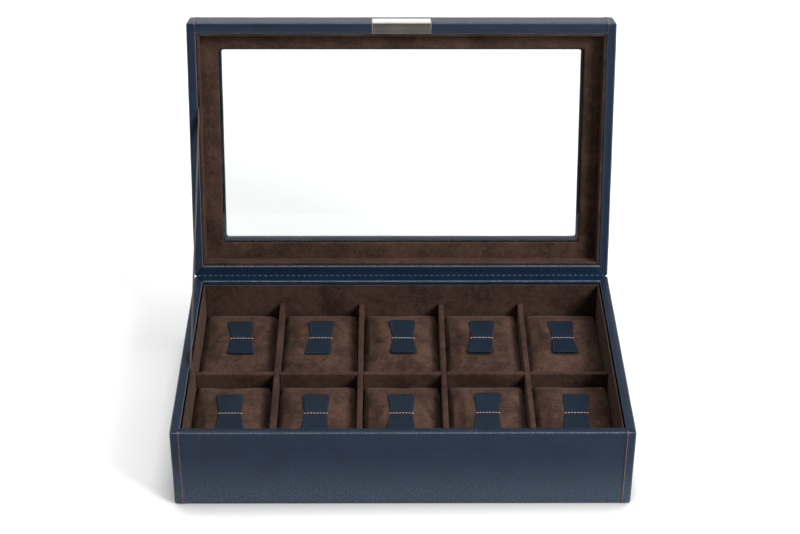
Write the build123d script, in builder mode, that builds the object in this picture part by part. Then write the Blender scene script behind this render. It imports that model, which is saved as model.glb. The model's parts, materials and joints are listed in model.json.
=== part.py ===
"""Watch box: a leather-covered base with ten cushioned compartments under a hinged lid with a window.

Millimetres, +Z up. The origin is the centre of the underside, with X to the right and the front at -Y.
The lid stands open, and it is modelled like the base, mouth up, in a frame that is turned over and
swung about the hinge line.
"""

import os
from math import cos, pi, sin, sqrt

from build123d import *

# Outside sizes, over the leather
box_width = 330.0
box_depth = 203.4
base_height = 65.0
lid_height = 26.5
lid_open_angle = 105.0
# Gap between the two rims when the lid is shut, with room for the hinge leather
rim_gap = 1.4

# Walls, from leather to leather
side_wall = 6.4
back_wall = 8.2
base_front_wall = 5.8
lid_front_wall = 8.2

# Leather cover
leather = 0.8
turn_down = 10.0
turn_in = 9.0
edge_round = 0.9
seam_inset = 5.8

# Boards and suede linings
floor_board = 5.0
lining = 2.0
lining_drop = 1.2
floor_lining = 1.5

# Compartments
compartments = 5
divider = 4.2
divider_height = 38.5
# How far the long divider stands in front of the middle
divider_offset = 2.0
slot_clearance = 0.1

# Lid window
window_side_border = 24.0
window_front_border = 23.8
window_back_border = 26.0
window_corner = 2.0
glass = 3.0
glass_lap = 6.0
glass_clearance = 0.1
retainer = 2.5
retainer_setback = 1.8
top_board = 8.7

# Cushions
cushion_gap = 1.2
cushion_seat = 0.3
cushion_height = 34.7
crown_radius = 260.0
shoulder = 10.0
cushion_tuck = 1.6
side_round = 4.0
swell = 0.6

# Pull tabs sewn over the cushions
tab_length = 44.0
tab_end = 21.0
tab_waist = 16.0
tab_corner = 2.0
tab_leather = 1.2

# Clasp plate and the magnet that holds it
plate_width = 45.6
plate_drop = 17.0
plate = 0.8
magnet_length = 38.0
magnet_depth = 3.0
magnet_height = 10.0

# Hinge leather
leaf = 0.6
leaf_inset = 3.0
bead_radius = 0.55
leaf_from_axis = 0.8

# Ribbon that stays the open lid, tucked behind the left linings
ribbon_width = 7.5
ribbon = 0.8
ribbon_tail = 12.0
ribbon_on_base = 117.2
ribbon_on_lid = 129.4
ribbon_clearance = 0.1
pocket_clearance = 0.4

# Places that follow from the sizes
front_y = -box_depth / 2
back_y = box_depth / 2
cavity_x = box_width / 2 - side_wall
cavity_back = back_y - back_wall
base_cavity_front = front_y + base_front_wall
lid_cavity_front = front_y + lid_front_wall
axis_z = base_height + rim_gap / 2

# The lid's frame has the lid's top face at its XY plane and the rim up, as the base has
shut_lid = Location((0, 0, base_height + rim_gap + lid_height), (0, 180, 0))
hinge_line = Location((0, back_y, axis_z))
swing = hinge_line * Location((0, 0, 0), (-lid_open_angle, 0, 0)) * hinge_line.inverse()
base_frame = Plane.XY
lid_frame = Plane(swing * shut_lid)

os.makedirs("parts", exist_ok=True)


def write(piece, label):
    """Name a finished piece and write it to its own file."""
    piece.label = label
    export_step(piece, f"parts/{label}.step")


def slab(frame, x_range, y_range, z_range):
    """A rectangular board between the given limits, in the frame of the base or the lid."""
    (x0, x1), (y0, y1), (z0, z1) = x_range, y_range, z_range
    with BuildPart() as board:
        with BuildSketch(frame.offset(z0)):
            with Locations(((x0 + x1) / 2, (y0 + y1) / 2)):
                Rectangle(x1 - x0, y1 - y0)
        extrude(amount=z1 - z0)
    return board.part


def sides(outward):
    """The left and right walls of a frame whose +X points right, or left where outward is -1."""
    return (("left", -outward), ("right", outward))


def span(sign, inner, outer):
    """The X range of a layer of a side wall between two distances from the middle."""
    return (inner, outer) if sign > 0 else (-outer, -inner)


# Walls


def wall_cover(frame, height, front_wall, window, collar):
    """The leather over four walls: outside, over the rim, down inside, and in under the closed end.

    window is the opening left in the closed end, as X range, Y range and corner radius, and collar
    is how deep the leather turns in through it.
    """
    (wx0, wx1), (wy0, wy1), corner = window
    cavity_front = front_y + front_wall
    cavity_middle = (0, (cavity_front + cavity_back) / 2)
    cavity_size = (2 * cavity_x, cavity_back - cavity_front)
    window_middle = ((wx0 + wx1) / 2, (wy0 + wy1) / 2)
    window_size = (wx1 - wx0, wy1 - wy0)
    with BuildPart() as cover:
        with BuildSketch(frame):
            Rectangle(box_width, box_depth)
        extrude(amount=height)
        fillet(cover.edges(), edge_round)
        with BuildSketch(frame.offset(leather)):
            Rectangle(box_width - 2 * leather, box_depth - 2 * leather)
        extrude(amount=height - 2 * leather, mode=Mode.SUBTRACT)
        with BuildSketch(frame.offset(height - turn_down)):
            with Locations(cavity_middle):
                Rectangle(cavity_size[0] + 2 * leather, cavity_size[1] + 2 * leather)
                Rectangle(*cavity_size, mode=Mode.SUBTRACT)
        extrude(amount=turn_down - leather)
        with BuildSketch(frame.offset(height - leather)):
            with Locations(cavity_middle):
                Rectangle(*cavity_size)
        extrude(amount=leather, mode=Mode.SUBTRACT)
        if collar:
            with BuildSketch(frame):
                with Locations(window_middle):
                    Rectangle(window_size[0] + 2 * leather, window_size[1] + 2 * leather)
            extrude(amount=collar)
        with BuildSketch(frame):
            with Locations(window_middle):
                RectangleRounded(*window_size, corner)
        extrude(amount=collar or leather, mode=Mode.SUBTRACT)
    return cover.part


def split_cover(cover, frame, height, front_wall, label):
    """Part the front panel from the leather that goes round the corners, at the two front seams."""
    panel_width = box_width - 2 * seam_inset
    for name, mode in ((f"{label}_cover_front", Mode.INTERSECT), (f"{label}_cover_wrap", Mode.SUBTRACT)):
        with BuildPart() as piece:
            add(cover)
            with BuildSketch(frame):
                with Locations((0, front_y + front_wall / 2)):
                    Rectangle(panel_width, front_wall)
            extrude(amount=height, mode=mode)
        write(piece.part, name)


def wall_boards(frame, height, front_wall, outward, label, cuts=None):
    """The four boards inside the leather, the side ones full depth and the others between them."""
    levels = (leather, height - leather)
    board_x = cavity_x + leather
    outer_x = box_width / 2 - leather
    for name, sign in sides(outward):
        board = slab(frame, span(sign, board_x, outer_x), (front_y + leather, back_y - leather), levels)
        write(board, f"{label}_board_{name}")
    front_range = (front_y + leather, front_y + front_wall - leather)
    back_range = (cavity_back + leather, back_y - leather)
    with BuildPart() as front_board:
        add(slab(frame, (-board_x, board_x), front_range, levels))
        if cuts:
            add(cuts, mode=Mode.SUBTRACT)
    write(front_board.part, f"{label}_board_front")
    write(slab(frame, (-board_x, board_x), back_range, levels), f"{label}_board_back")


def wall_linings(frame, front_wall, levels, outward, label):
    """The suede-covered boards inside the walls, the left one with a pocket for the ribbon's tail."""
    cavity_front = front_y + front_wall
    inner_x = cavity_x - lining
    for name, sign in sides(outward):
        with BuildPart() as side_lining:
            add(slab(frame, span(sign, inner_x, cavity_x), (cavity_front, cavity_back), levels))
            if name == "left":
                add(ribbon_pocket, mode=Mode.SUBTRACT)
        write(side_lining.part, f"{label}_lining_{name}")
    front_range = (cavity_front, cavity_front + lining)
    back_range = (cavity_back - lining, cavity_back)
    write(slab(frame, (-inner_x, inner_x), front_range, levels), f"{label}_lining_front")
    write(slab(frame, (-inner_x, inner_x), back_range, levels), f"{label}_lining_back")


# Lid stay ribbon, a straight tape between the two left rims

ribbon_foot = Vector(0, back_y - ribbon_on_base, base_height)
ribbon_head = lid_frame.from_local_coords(Vector(0, back_y - ribbon_on_lid, lid_height))
ribbon_run = ribbon_head - ribbon_foot
ribbon_middle = ribbon_foot + ribbon_run * 0.5
ribbon_plane = Plane(
    origin=(-cavity_x + ribbon_clearance, ribbon_middle.Y, ribbon_middle.Z),
    x_dir=ribbon_run,
    z_dir=(1, 0, 0),
)
ribbon_length = ribbon_run.length + 2 * ribbon_tail

with BuildPart() as ribbon_tape:
    with BuildSketch(ribbon_plane):
        Rectangle(ribbon_length, ribbon_width)
    extrude(amount=ribbon)
write(ribbon_tape.part, "lid_stay_ribbon")

with BuildPart() as pocket:
    with BuildSketch(ribbon_plane.offset(-ribbon_clearance)):
        Rectangle(ribbon_length + 2 * pocket_clearance, ribbon_width + 2 * pocket_clearance)
    extrude(amount=ribbon + 2 * ribbon_clearance)
ribbon_pocket = pocket.part

# Base shell

magnet_z = base_height - leather - magnet_height
magnet_y = front_y + base_front_wall - leather - magnet_depth
base_window = (
    (-box_width / 2 + turn_in, box_width / 2 - turn_in),
    (front_y + turn_in, back_y - turn_in),
    window_corner,
)
closure_magnet = slab(
    base_frame,
    (-magnet_length / 2, magnet_length / 2),
    (magnet_y, magnet_y + magnet_depth),
    (magnet_z, magnet_z + magnet_height),
)
write(closure_magnet, "closure_magnet")

base_cover = wall_cover(base_frame, base_height, base_front_wall, base_window, 0)
split_cover(base_cover, base_frame, base_height, base_front_wall, "base")
wall_boards(base_frame, base_height, base_front_wall, 1, "base", closure_magnet)

floor_x = cavity_x + leather
floor_y = (base_cavity_front - leather, cavity_back + leather)
floor_top = leather + floor_board + floor_lining
write(slab(base_frame, (-floor_x, floor_x), floor_y, (leather, leather + floor_board)), "base_board_floor")

with BuildPart() as bottom_sheet:
    with BuildSketch(base_frame):
        RectangleRounded(box_width - 2 * turn_in, box_depth - 2 * turn_in, window_corner)
    extrude(amount=leather)
write(bottom_sheet.part, "base_bottom_sheet")

floor_levels = (leather + floor_board, floor_top)
cavity_y = (base_cavity_front, cavity_back)
write(slab(base_frame, (-cavity_x, cavity_x), cavity_y, floor_levels), "base_lining_floor")
lining_levels = (floor_top, base_height - lining_drop)
wall_linings(base_frame, base_front_wall, lining_levels, 1, "base")

# Dividers, halved into each other: slots from the top in the long one and from below in the cross ones

inner_x = cavity_x - lining
inner_front = base_cavity_front + lining
inner_back = cavity_back - lining
divider_top = floor_top + divider_height
divider_middle = (inner_front + inner_back) / 2 - divider_offset
divider_back = divider_middle + divider / 2
divider_front = divider_middle - divider / 2
compartment_width = (2 * inner_x - (compartments - 1) * divider) / compartments
compartment_pitch = compartment_width + divider
front_row_depth = divider_front - inner_front
cross_x = [(i + 1 - compartments / 2) * compartment_pitch for i in range(compartments - 1)]
slot = divider + 2 * slot_clearance
half_height = floor_top + divider_height / 2

with BuildPart() as long_divider:
    add(slab(base_frame, (-inner_x, inner_x), (divider_front, divider_back), (floor_top, divider_top)))
    with BuildSketch(base_frame.offset(half_height)):
        with Locations(*[(x, divider_middle) for x in cross_x]):
            Rectangle(slot, divider)
    extrude(amount=divider_top - half_height, mode=Mode.SUBTRACT)
write(long_divider.part, "long_divider")

for number, x in enumerate(cross_x, 1):
    with BuildPart() as cross_divider:
        x_range = (x - divider / 2, x + divider / 2)
        add(slab(base_frame, x_range, (inner_front, inner_back), (floor_top, divider_top)))
        with BuildSketch(base_frame.offset(floor_top)):
            with Locations((x, divider_middle)):
                Rectangle(divider, slot)
        extrude(amount=half_height - floor_top, mode=Mode.SUBTRACT)
    write(cross_divider.part, f"cross_divider_{number}")

# Lid shell

window_x = box_width / 2 - window_side_border
window_y = (front_y + window_front_border, back_y - window_back_border)
window_middle_y = (window_y[0] + window_y[1]) / 2
window_width = 2 * window_x
window_depth = window_y[1] - window_y[0]
top_board_under = leather + top_board
glass_top = top_board_under - glass
rebate = glass_top - glass_clearance
recess_top = top_board_under + retainer

lid_cover = wall_cover(
    lid_frame, lid_height, lid_front_wall, ((-window_x, window_x), window_y, window_corner), rebate
)
split_cover(lid_cover, lid_frame, lid_height, lid_front_wall, "lid")
wall_boards(lid_frame, lid_height, lid_front_wall, -1, "lid")

with BuildPart() as lid_board_top:
    board_y = (lid_cavity_front - leather, cavity_back + leather)
    add(slab(lid_frame, (-floor_x, floor_x), board_y, (leather, top_board_under)))
    with BuildSketch(lid_frame.offset(leather)):
        with Locations((0, window_middle_y)):
            Rectangle(window_width + 2 * leather, window_depth + 2 * leather)
    extrude(amount=top_board, mode=Mode.SUBTRACT)
    glass_room = 2 * (glass_lap + glass_clearance)
    with BuildSketch(lid_frame.offset(rebate)):
        with Locations((0, window_middle_y)):
            Rectangle(window_width + glass_room, window_depth + glass_room)
    extrude(amount=glass + glass_clearance, mode=Mode.SUBTRACT)
write(lid_board_top.part, "lid_board_top")

with BuildPart() as window_glass:
    with BuildSketch(lid_frame.offset(glass_top)):
        with Locations((0, window_middle_y)):
            Rectangle(window_width + 2 * glass_lap, window_depth + 2 * glass_lap)
    extrude(amount=glass)
write(window_glass.part, "window_glass")

with BuildPart() as window_retainer:
    retainer_y = (lid_cavity_front, cavity_back)
    add(slab(lid_frame, (-cavity_x, cavity_x), retainer_y, (top_board_under, recess_top)))
    setback = 2 * retainer_setback
    with BuildSketch(lid_frame.offset(top_board_under)):
        with Locations((0, window_middle_y)):
            RectangleRounded(window_width + setback, window_depth + setback, window_corner)
    extrude(amount=retainer, mode=Mode.SUBTRACT)
write(window_retainer.part, "window_retainer")

wall_linings(lid_frame, lid_front_wall, (recess_top, lid_height - lining_drop), -1, "lid")

# Clasp plate, an angle over the middle of the lid's front rim

with BuildPart() as clasp_plate:
    with BuildSketch(lid_frame.offset(lid_height - plate_drop)):
        with Locations((0, front_y - plate / 2)):
            Rectangle(plate_width, plate)
    extrude(amount=plate_drop + plate)
    with BuildSketch(lid_frame.offset(lid_height)):
        with Locations((0, front_y + lid_front_wall / 2)):
            Rectangle(plate_width, lid_front_wall)
    extrude(amount=plate)
write(clasp_plate.part, "clasp_plate")

# Hinge leather: a leaf on each back rim, and a bead along the fold

leaf_width = box_width - 2 * leaf_inset
bead_frame = Plane(origin=(-leaf_width / 2, back_y, axis_z), x_dir=(0, 1, 0), z_dir=(1, 0, 0))
with BuildPart() as hinge_leaf_base:
    with BuildSketch(base_frame.offset(base_height)):
        with Locations((0, back_y - back_wall / 2)):
            Rectangle(leaf_width, back_wall)
    extrude(amount=leaf)
    with BuildSketch(bead_frame):
        Circle(bead_radius)
    extrude(amount=leaf_width)
write(hinge_leaf_base.part, "hinge_leaf_base")

lid_leaf_range = (cavity_back, back_y - leaf_from_axis)
lid_leaf_levels = (lid_height, lid_height + leaf)
lid_leaf = slab(lid_frame, (-leaf_width / 2, leaf_width / 2), lid_leaf_range, lid_leaf_levels)
write(lid_leaf, "hinge_leaf_lid")

# Cushions: a crowned loaf with drawn-in ends and rounded flanks, lofted across its width

cushion_width = compartment_width - 2 * cushion_gap
cushion_depth = front_row_depth - 2 * cushion_gap
cushion_foot = floor_top + cushion_seat
flank_steps = 3


def crown_fall(offset):
    """How far the crown's arc lies under its highest point at an offset from the middle."""
    return crown_radius - sqrt(crown_radius**2 - offset**2)


def cushion_sections():
    """Distances from the middle with how far the outline there is drawn in, across the width."""
    flat = cushion_width / 2 - side_round
    angles = [pi / 2 * step / flank_steps for step in range(flank_steps + 1)]
    flank = [(flat + side_round * sin(a), swell + side_round * (1 - cos(a))) for a in angles]
    return [(-x, inset) for x, inset in reversed(flank)] + [(0, 0)] + flank


def cushion_at(x, y):
    """A cushion whose middle is at x, y, standing on the floor lining."""
    with BuildPart() as cushion:
        for offset, inset in cushion_sections():
            half = cushion_depth / 2 - inset
            foot = half - cushion_tuck
            brow = half - shoulder
            top = cushion_foot + cushion_height - inset
            brow_z = top - crown_fall(brow)
            shoulder_z = brow_z - shoulder
            bend = shoulder * cos(pi / 4)
            section_plane = Plane(origin=(x + offset, y, 0), x_dir=(0, 1, 0), z_dir=(1, 0, 0))
            with BuildSketch(section_plane):
                with BuildLine():
                    Line((-foot, cushion_foot), (foot, cushion_foot))
                    Line((foot, cushion_foot), (half, shoulder_z))
                    ThreePointArc((half, shoulder_z), (brow + bend, shoulder_z + bend), (brow, brow_z))
                    ThreePointArc((brow, brow_z), (0, top), (-brow, brow_z))
                    ThreePointArc((-brow, brow_z), (-brow - bend, shoulder_z + bend), (-half, shoulder_z))
                    Line((-half, shoulder_z), (-foot, cushion_foot))
                make_face()
        loft(ruled=True)
    return cushion.part


def tab_at(x, y):
    """A bow-tie tab of leather that lies along the crown of the cushion at x, y."""
    end = tab_length / 2
    crown_z = cushion_foot + cushion_height
    low = crown_z - crown_fall(end) - tab_leather
    with BuildPart() as tab:
        with BuildSketch(Plane.XY.offset(low)) as outline:
            with Locations((x, y)):
                Polygon(
                    (-tab_end / 2, -end),
                    (tab_end / 2, -end),
                    (tab_waist / 2, 0),
                    (tab_end / 2, end),
                    (-tab_end / 2, end),
                    (-tab_waist / 2, 0),
                    align=None,
                )
            ends = outline.vertices().group_by(Axis.Y)
            fillet(ends[0] + ends[-1], tab_corner)
        extrude(amount=crown_z + 2 * tab_leather - low)
        with BuildSketch(Plane.YZ.offset(x - tab_end)):
            with Locations((y, crown_z - crown_radius)):
                Circle(crown_radius + tab_leather)
                Circle(crown_radius, mode=Mode.SUBTRACT)
        extrude(amount=2 * tab_end, mode=Mode.INTERSECT)
    return tab.part


row_back_edges = (inner_back - cushion_gap, divider_front - cushion_gap)
column_x = [(i + 0.5 - compartments / 2) * compartment_pitch for i in range(compartments)]
places = [(x, back_edge - cushion_depth / 2) for back_edge in row_back_edges for x in column_x]
for number, (x, y) in enumerate(places, 1):
    write(cushion_at(x, y), f"cushion_{number:02d}")
    write(tab_at(x, y), f"pull_tab_{number:02d}")
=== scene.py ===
"""Looks of the watch box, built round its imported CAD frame.

The frame gives every size and place. Each operator makes one piece or one group of like pieces, in metres and in
the frame's own axes: X to the right, the front at -Y, Z up, the origin in the middle of the underside.
"""

import json
from math import cos, exp, pi, radians, sin

import bmesh
import bpy
import numpy as np
from mathutils import Matrix, Vector
from mathutils.bvhtree import BVHTree

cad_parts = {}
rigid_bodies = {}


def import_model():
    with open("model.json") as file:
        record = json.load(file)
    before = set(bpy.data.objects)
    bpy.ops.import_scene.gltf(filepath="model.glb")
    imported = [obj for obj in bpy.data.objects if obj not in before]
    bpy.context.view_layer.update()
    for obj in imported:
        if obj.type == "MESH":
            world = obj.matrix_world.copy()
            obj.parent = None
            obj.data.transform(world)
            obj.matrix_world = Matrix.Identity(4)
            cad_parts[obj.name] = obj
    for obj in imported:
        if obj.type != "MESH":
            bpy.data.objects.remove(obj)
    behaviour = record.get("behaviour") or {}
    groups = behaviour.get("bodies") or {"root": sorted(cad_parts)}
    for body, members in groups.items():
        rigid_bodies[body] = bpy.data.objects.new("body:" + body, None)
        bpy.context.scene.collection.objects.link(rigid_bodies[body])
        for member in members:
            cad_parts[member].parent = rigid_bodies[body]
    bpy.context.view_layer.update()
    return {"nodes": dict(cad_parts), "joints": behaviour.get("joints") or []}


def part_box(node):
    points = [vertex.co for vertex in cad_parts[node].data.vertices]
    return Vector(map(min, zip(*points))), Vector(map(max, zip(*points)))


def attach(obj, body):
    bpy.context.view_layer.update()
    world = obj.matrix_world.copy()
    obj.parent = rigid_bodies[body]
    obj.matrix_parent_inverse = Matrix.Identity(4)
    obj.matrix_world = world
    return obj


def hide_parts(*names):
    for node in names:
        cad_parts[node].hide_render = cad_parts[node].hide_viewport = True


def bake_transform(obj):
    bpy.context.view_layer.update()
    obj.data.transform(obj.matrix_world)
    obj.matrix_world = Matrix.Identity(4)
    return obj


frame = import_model()

bl_info = {
    "name": "Watch box",
    "version": (1, 0, 0),
    "blender": (4, 5, 0),
    "location": "3D View > Sidebar > Watch box",
    "description": "Dresses the watch box frame in leather, suede and stitching",
    "category": "Object",
}

MM = 0.001
UP = Vector((0, 0, 1))
# Angles of the points between the two ends of a rounded edge
QUARTER = (22.5, 45.0, 67.5)

# Hinge line and the lid's own frame: its top face is the XY plane and its rim is up, as in the base
HINGE = next(joint for joint in frame["joints"] if joint["name"] == "lid_hinge")
HINGE_POINT = Vector(HINGE["pos_m"])
OPEN_ANGLE = radians(-HINGE["range_deg"][0])
LID_HEIGHT = 26.5 * MM
BASE_LOW, BASE_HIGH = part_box("base_cover_wrap")
SHUT_TOP = 2 * HINGE_POINT.z - BASE_HIGH.z + LID_HEIGHT
BASE = Matrix.Identity(4)
LID = (
    Matrix.Translation(HINGE_POINT)
    @ Matrix.Rotation(-OPEN_ANGLE, 4, "X")
    @ Matrix.Translation(-HINGE_POINT)
    @ Matrix.Translation((0, 0, SHUT_TOP))
    @ Matrix.Rotation(pi, 4, "Y")
)


def box_in(node, matrix):
    """Lowest and highest corner of a CAD node along the axes of the base or the lid."""
    back = matrix.inverted()
    points = np.array([back @ vertex.co for vertex in frame["nodes"][node].data.vertices])
    return Vector(points.min(0)), Vector(points.max(0))


def spread(start, end, count):
    """Evenly spaced numbers, both ends included."""
    return [start + (end - start) * i / (count - 1) for i in range(count)]


def mixed(first, last, share):
    """A pair of numbers between two others."""
    return tuple(a + (b - a) * share for a, b in zip(first, last))


def walls_of(label, matrix):
    """Thicknesses of a shell's side, front and back walls, up to its linings."""
    side = BASE_HIGH.x - max(abs(box_in(f"{label}_lining_left", matrix)[i].x) for i in (0, 1))
    front = box_in(f"{label}_lining_front", matrix)[0].y - BASE_LOW.y
    back = BASE_HIGH.y - box_in(f"{label}_lining_back", matrix)[1].y
    return side, front, back


# Settings


def linear(hex_colour):
    """An sRGB hex colour as the linear values that Blender works in."""
    levels = [int(hex_colour[i : i + 2], 16) / 255 for i in (1, 3, 5)]
    return tuple(x / 12.92 if x <= 0.04045 else ((x + 0.055) / 1.055) ** 2.4 for x in levels)


def colour_property(name, description, hex_colour):
    return bpy.props.FloatVectorProperty(
        name=name, description=description, subtype="COLOR", size=3, min=0, max=1, default=linear(hex_colour)
    )


def length_property(name, description, default, low=0.0):
    return bpy.props.FloatProperty(
        name=name, description=description, default=default, min=low, max=1, unit="LENGTH", precision=5
    )


def power_property(name, description, default):
    return bpy.props.FloatProperty(name=name, description=description, default=default, min=0, unit="POWER")


class LeatherSettings(bpy.types.PropertyGroup):
    """Navy leather over the walls, the hinge and the tabs."""

    colour: colour_property("Colour", "Dye of the leather", "#0b2138")
    tab_colour: colour_property("Tab colour", "Dye of the pull tabs' leather", "#0e2133")
    hinge_colour: colour_property("Hinge colour", "Dye of the hinge's leather", "#0a2137")
    # Besides rubbed folds, this colour paints highlights along rolled edges and the floor's reflection low on
    # the walls
    worn_and_sheen: colour_property("Worn edge", "Colour where a fold is rubbed", "#8897a6")
    grain: length_property("Grain pitch", "Distance between the pressed lines of the grain", 1.15 * MM)
    roll: length_property("Edge roll", "Radius of the leather where it turns over an edge", 1.5 * MM)
    corner: length_property("Corner radius", "Radius of the upright corners", 1.8 * MM)
    seam: length_property("Seam place", "From a side to the folded edge of the front seams", 6.3 * MM)
    fold: length_property("Seam fold", "How far the folded edge stands over the front panel", 0.38 * MM)
    mitre: length_property("Mitre depth", "Depth of the crease where the rim is mitred", 0.35 * MM)
    puff: length_property("Rim puff", "How far the rim is crowned", 0.3 * MM)
    ripple: length_property("Ripple", "Height of the slow unevenness under the leather", 0.09 * MM)


class SuedeSettings(bpy.types.PropertyGroup):
    """Brown suede over boards and cushions, darker where its nap lies down than where it stands up."""

    board_dark: colour_property("Board, nap down", "Suede on boards where the nap lies down", "#2f221b")
    board_light: colour_property("Board, nap up", "Suede on boards where the nap stands up", "#4c382f")
    # The dividers' suede is the boards' suede drawn a little darker, as painted shade; the lid's linings take it
    # too
    divider_dark: colour_property("Divider, nap down", "Suede on dividers where the nap lies down", "#2c1f19")
    divider_light: colour_property("Divider, nap up", "Suede on dividers where the nap stands up", "#49362d")
    cushion_dark: colour_property("Cushion, nap down", "Suede on cushions where the nap lies down", "#2e211a")
    cushion_light: colour_property("Cushion, nap up", "Suede on cushions where the nap stands up", "#503b32")
    edge: length_property("Edge radius", "Roundness of the suede-covered boards", 0.7 * MM)
    crown: length_property("Frame padding", "How far the suede round the window is padded", 0.25 * MM)


class CushionSettings(bpy.types.PropertyGroup):
    """Padding of the ten cushions."""

    start: bpy.props.FloatProperty(
        name="Start size",
        description="Share of the cushion's size from which it is blown up",
        default=0.985,
        min=0.8,
        max=1,
    )
    pressure: bpy.props.FloatProperty(
        name="Pressure", description="Pressure that blows the cover up", default=5.0, min=0, max=60
    )
    edge: length_property("Edge radius", "Roundness of the edges before it is blown up", 2.6 * MM)
    voxel: length_property("Cover mesh", "Spacing of the cover's points in the simulation", 3.0 * MM, 1 * MM)
    cap: length_property("Most swell", "How far a point may move", 2.6 * MM)
    crown: length_property("Crown", "How far the cushion's ends lie below its middle", 6.0 * MM)
    pull: length_property("Stitch pull", "How far the tab's stitches draw the crown in", 0.9 * MM)


class TabSettings(bpy.types.PropertyGroup):
    """The pull tabs sewn across the cushions."""

    length: length_property("Length", "Length of a tab", 44.6 * MM)
    end: length_property("End width", "Width of a tab's ends", 20.8 * MM)
    waist: length_property("Waist width", "Width of a tab at its stitches", 16.0 * MM)
    corner: length_property("Corner radius", "Roundness of a tab's corners", 3.0 * MM)
    thickness: length_property("Thickness", "Thickness of a tab", 1.3 * MM)


class ThreadSettings(bpy.types.PropertyGroup):
    """Sewing thread of the seams, the hinge and the tabs."""

    seam_colour: colour_property("Seam thread", "Thread of the front corner seams", "#b26f4d")
    tab_colour: colour_property("Tab thread", "Thread across the tabs", "#dcb9aa")
    # The hinge thread is navy; its pale blue-grey colour is a painted highlight on each stitch
    hinge_colour: colour_property("Hinge thread", "Thread along the hinge", "#7f95a3")
    seam_pitch: length_property("Seam pitch", "From stitch to stitch in the corner seams", 2.1 * MM)
    hinge_pitch: length_property("Hinge pitch", "From stitch to stitch along the hinge", 4.4 * MM)
    tab_pitch: length_property("Tab pitch", "From stitch to stitch across a tab", 2.1 * MM)
    thickness: length_property("Thread", "Thickness of the thread", 0.5 * MM)


class RibbonSettings(bpy.types.PropertyGroup):
    """The ribbon that stays the lid."""

    colour: colour_property("Colour", "Dye of the ribbon", "#4b3d36")
    picot_colour: colour_property("Edge loops", "Colour of the loops along its edges", "#8d7d70")
    picot_pitch: length_property("Loop pitch", "Distance between the loops along its edges", 2.1 * MM)


class MetalSettings(bpy.types.PropertyGroup):
    """The clasp plate."""

    colour: colour_property("Colour", "Colour of the satin nickel", "#cfcac2")
    bevel: length_property("Edge bevel", "Width of the bright bevel round the plate", 0.3 * MM)


class StageSettings(bpy.types.PropertyGroup):
    """Floor, light and camera."""

    floor_colour: colour_property("Floor", "Colour of the floor", "#e0e0e0")
    key_power: power_property("Key light", "Power of the softbox in front on the right", 36.0)
    fill_power: power_property("Fill light", "Power of the wide softbox above the camera", 3.0)
    strip_power: power_property("Strip light", "Power of the narrow softbox overhead", 14.0)
    back_power: power_property("Back light", "Power of the wide softbox low behind the box", 12.0)
    room: bpy.props.FloatProperty(name="Room", description="Brightness of the room around", default=0.12, min=0)


SETTINGS = {
    "watch_box_leather": LeatherSettings,
    "watch_box_suede": SuedeSettings,
    "watch_box_cushion": CushionSettings,
    "watch_box_tab": TabSettings,
    "watch_box_thread": ThreadSettings,
    "watch_box_ribbon": RibbonSettings,
    "watch_box_metal": MetalSettings,
    "watch_box_stage": StageSettings,
}


# Nodes and materials

# Sockets of a Mix node: its share, two numbers, two colours, and the colour that comes out
SHARE, NUMBER_A, NUMBER_B, COLOUR_A, COLOUR_B = 0, 2, 3, 6, 7
MIXED_COLOUR = 2
# A wave texture's output for its height, and the length of its waves at scale 1
WAVE_HEIGHT = 1
WAVE_LENGTH = 0.31416


def add(tree, kind, inputs=None, **settings):
    """Adds one node to a tree. inputs holds numbers for its sockets, or the nodes or sockets that feed them."""
    node = tree.nodes.new(kind)
    for name, value in settings.items():
        setattr(node, name, value)
    for name, value in (inputs or {}).items():
        if isinstance(value, bpy.types.Node):
            value = value.outputs[0]
        if isinstance(value, bpy.types.NodeSocket):
            tree.links.new(value, node.inputs[name])
        else:
            node.inputs[name].default_value = value
    return node


def opened_material(name):
    """An empty material and its tree."""
    material = bpy.data.materials.new(name)
    material.use_nodes = True
    material.node_tree.nodes.clear()
    return material, material.node_tree


def closed_material(material, inputs):
    """The material with its shader and its output."""
    tree = material.node_tree
    shader = add(tree, "ShaderNodeBsdfPrincipled", inputs)
    add(tree, "ShaderNodeOutputMaterial", {"Surface": shader})
    return material


def shaded(colour, level=1.0):
    """A colour made darker or lighter, with its alpha."""
    return (*(min(1, x * level) for x in colour), 1.0)


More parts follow.
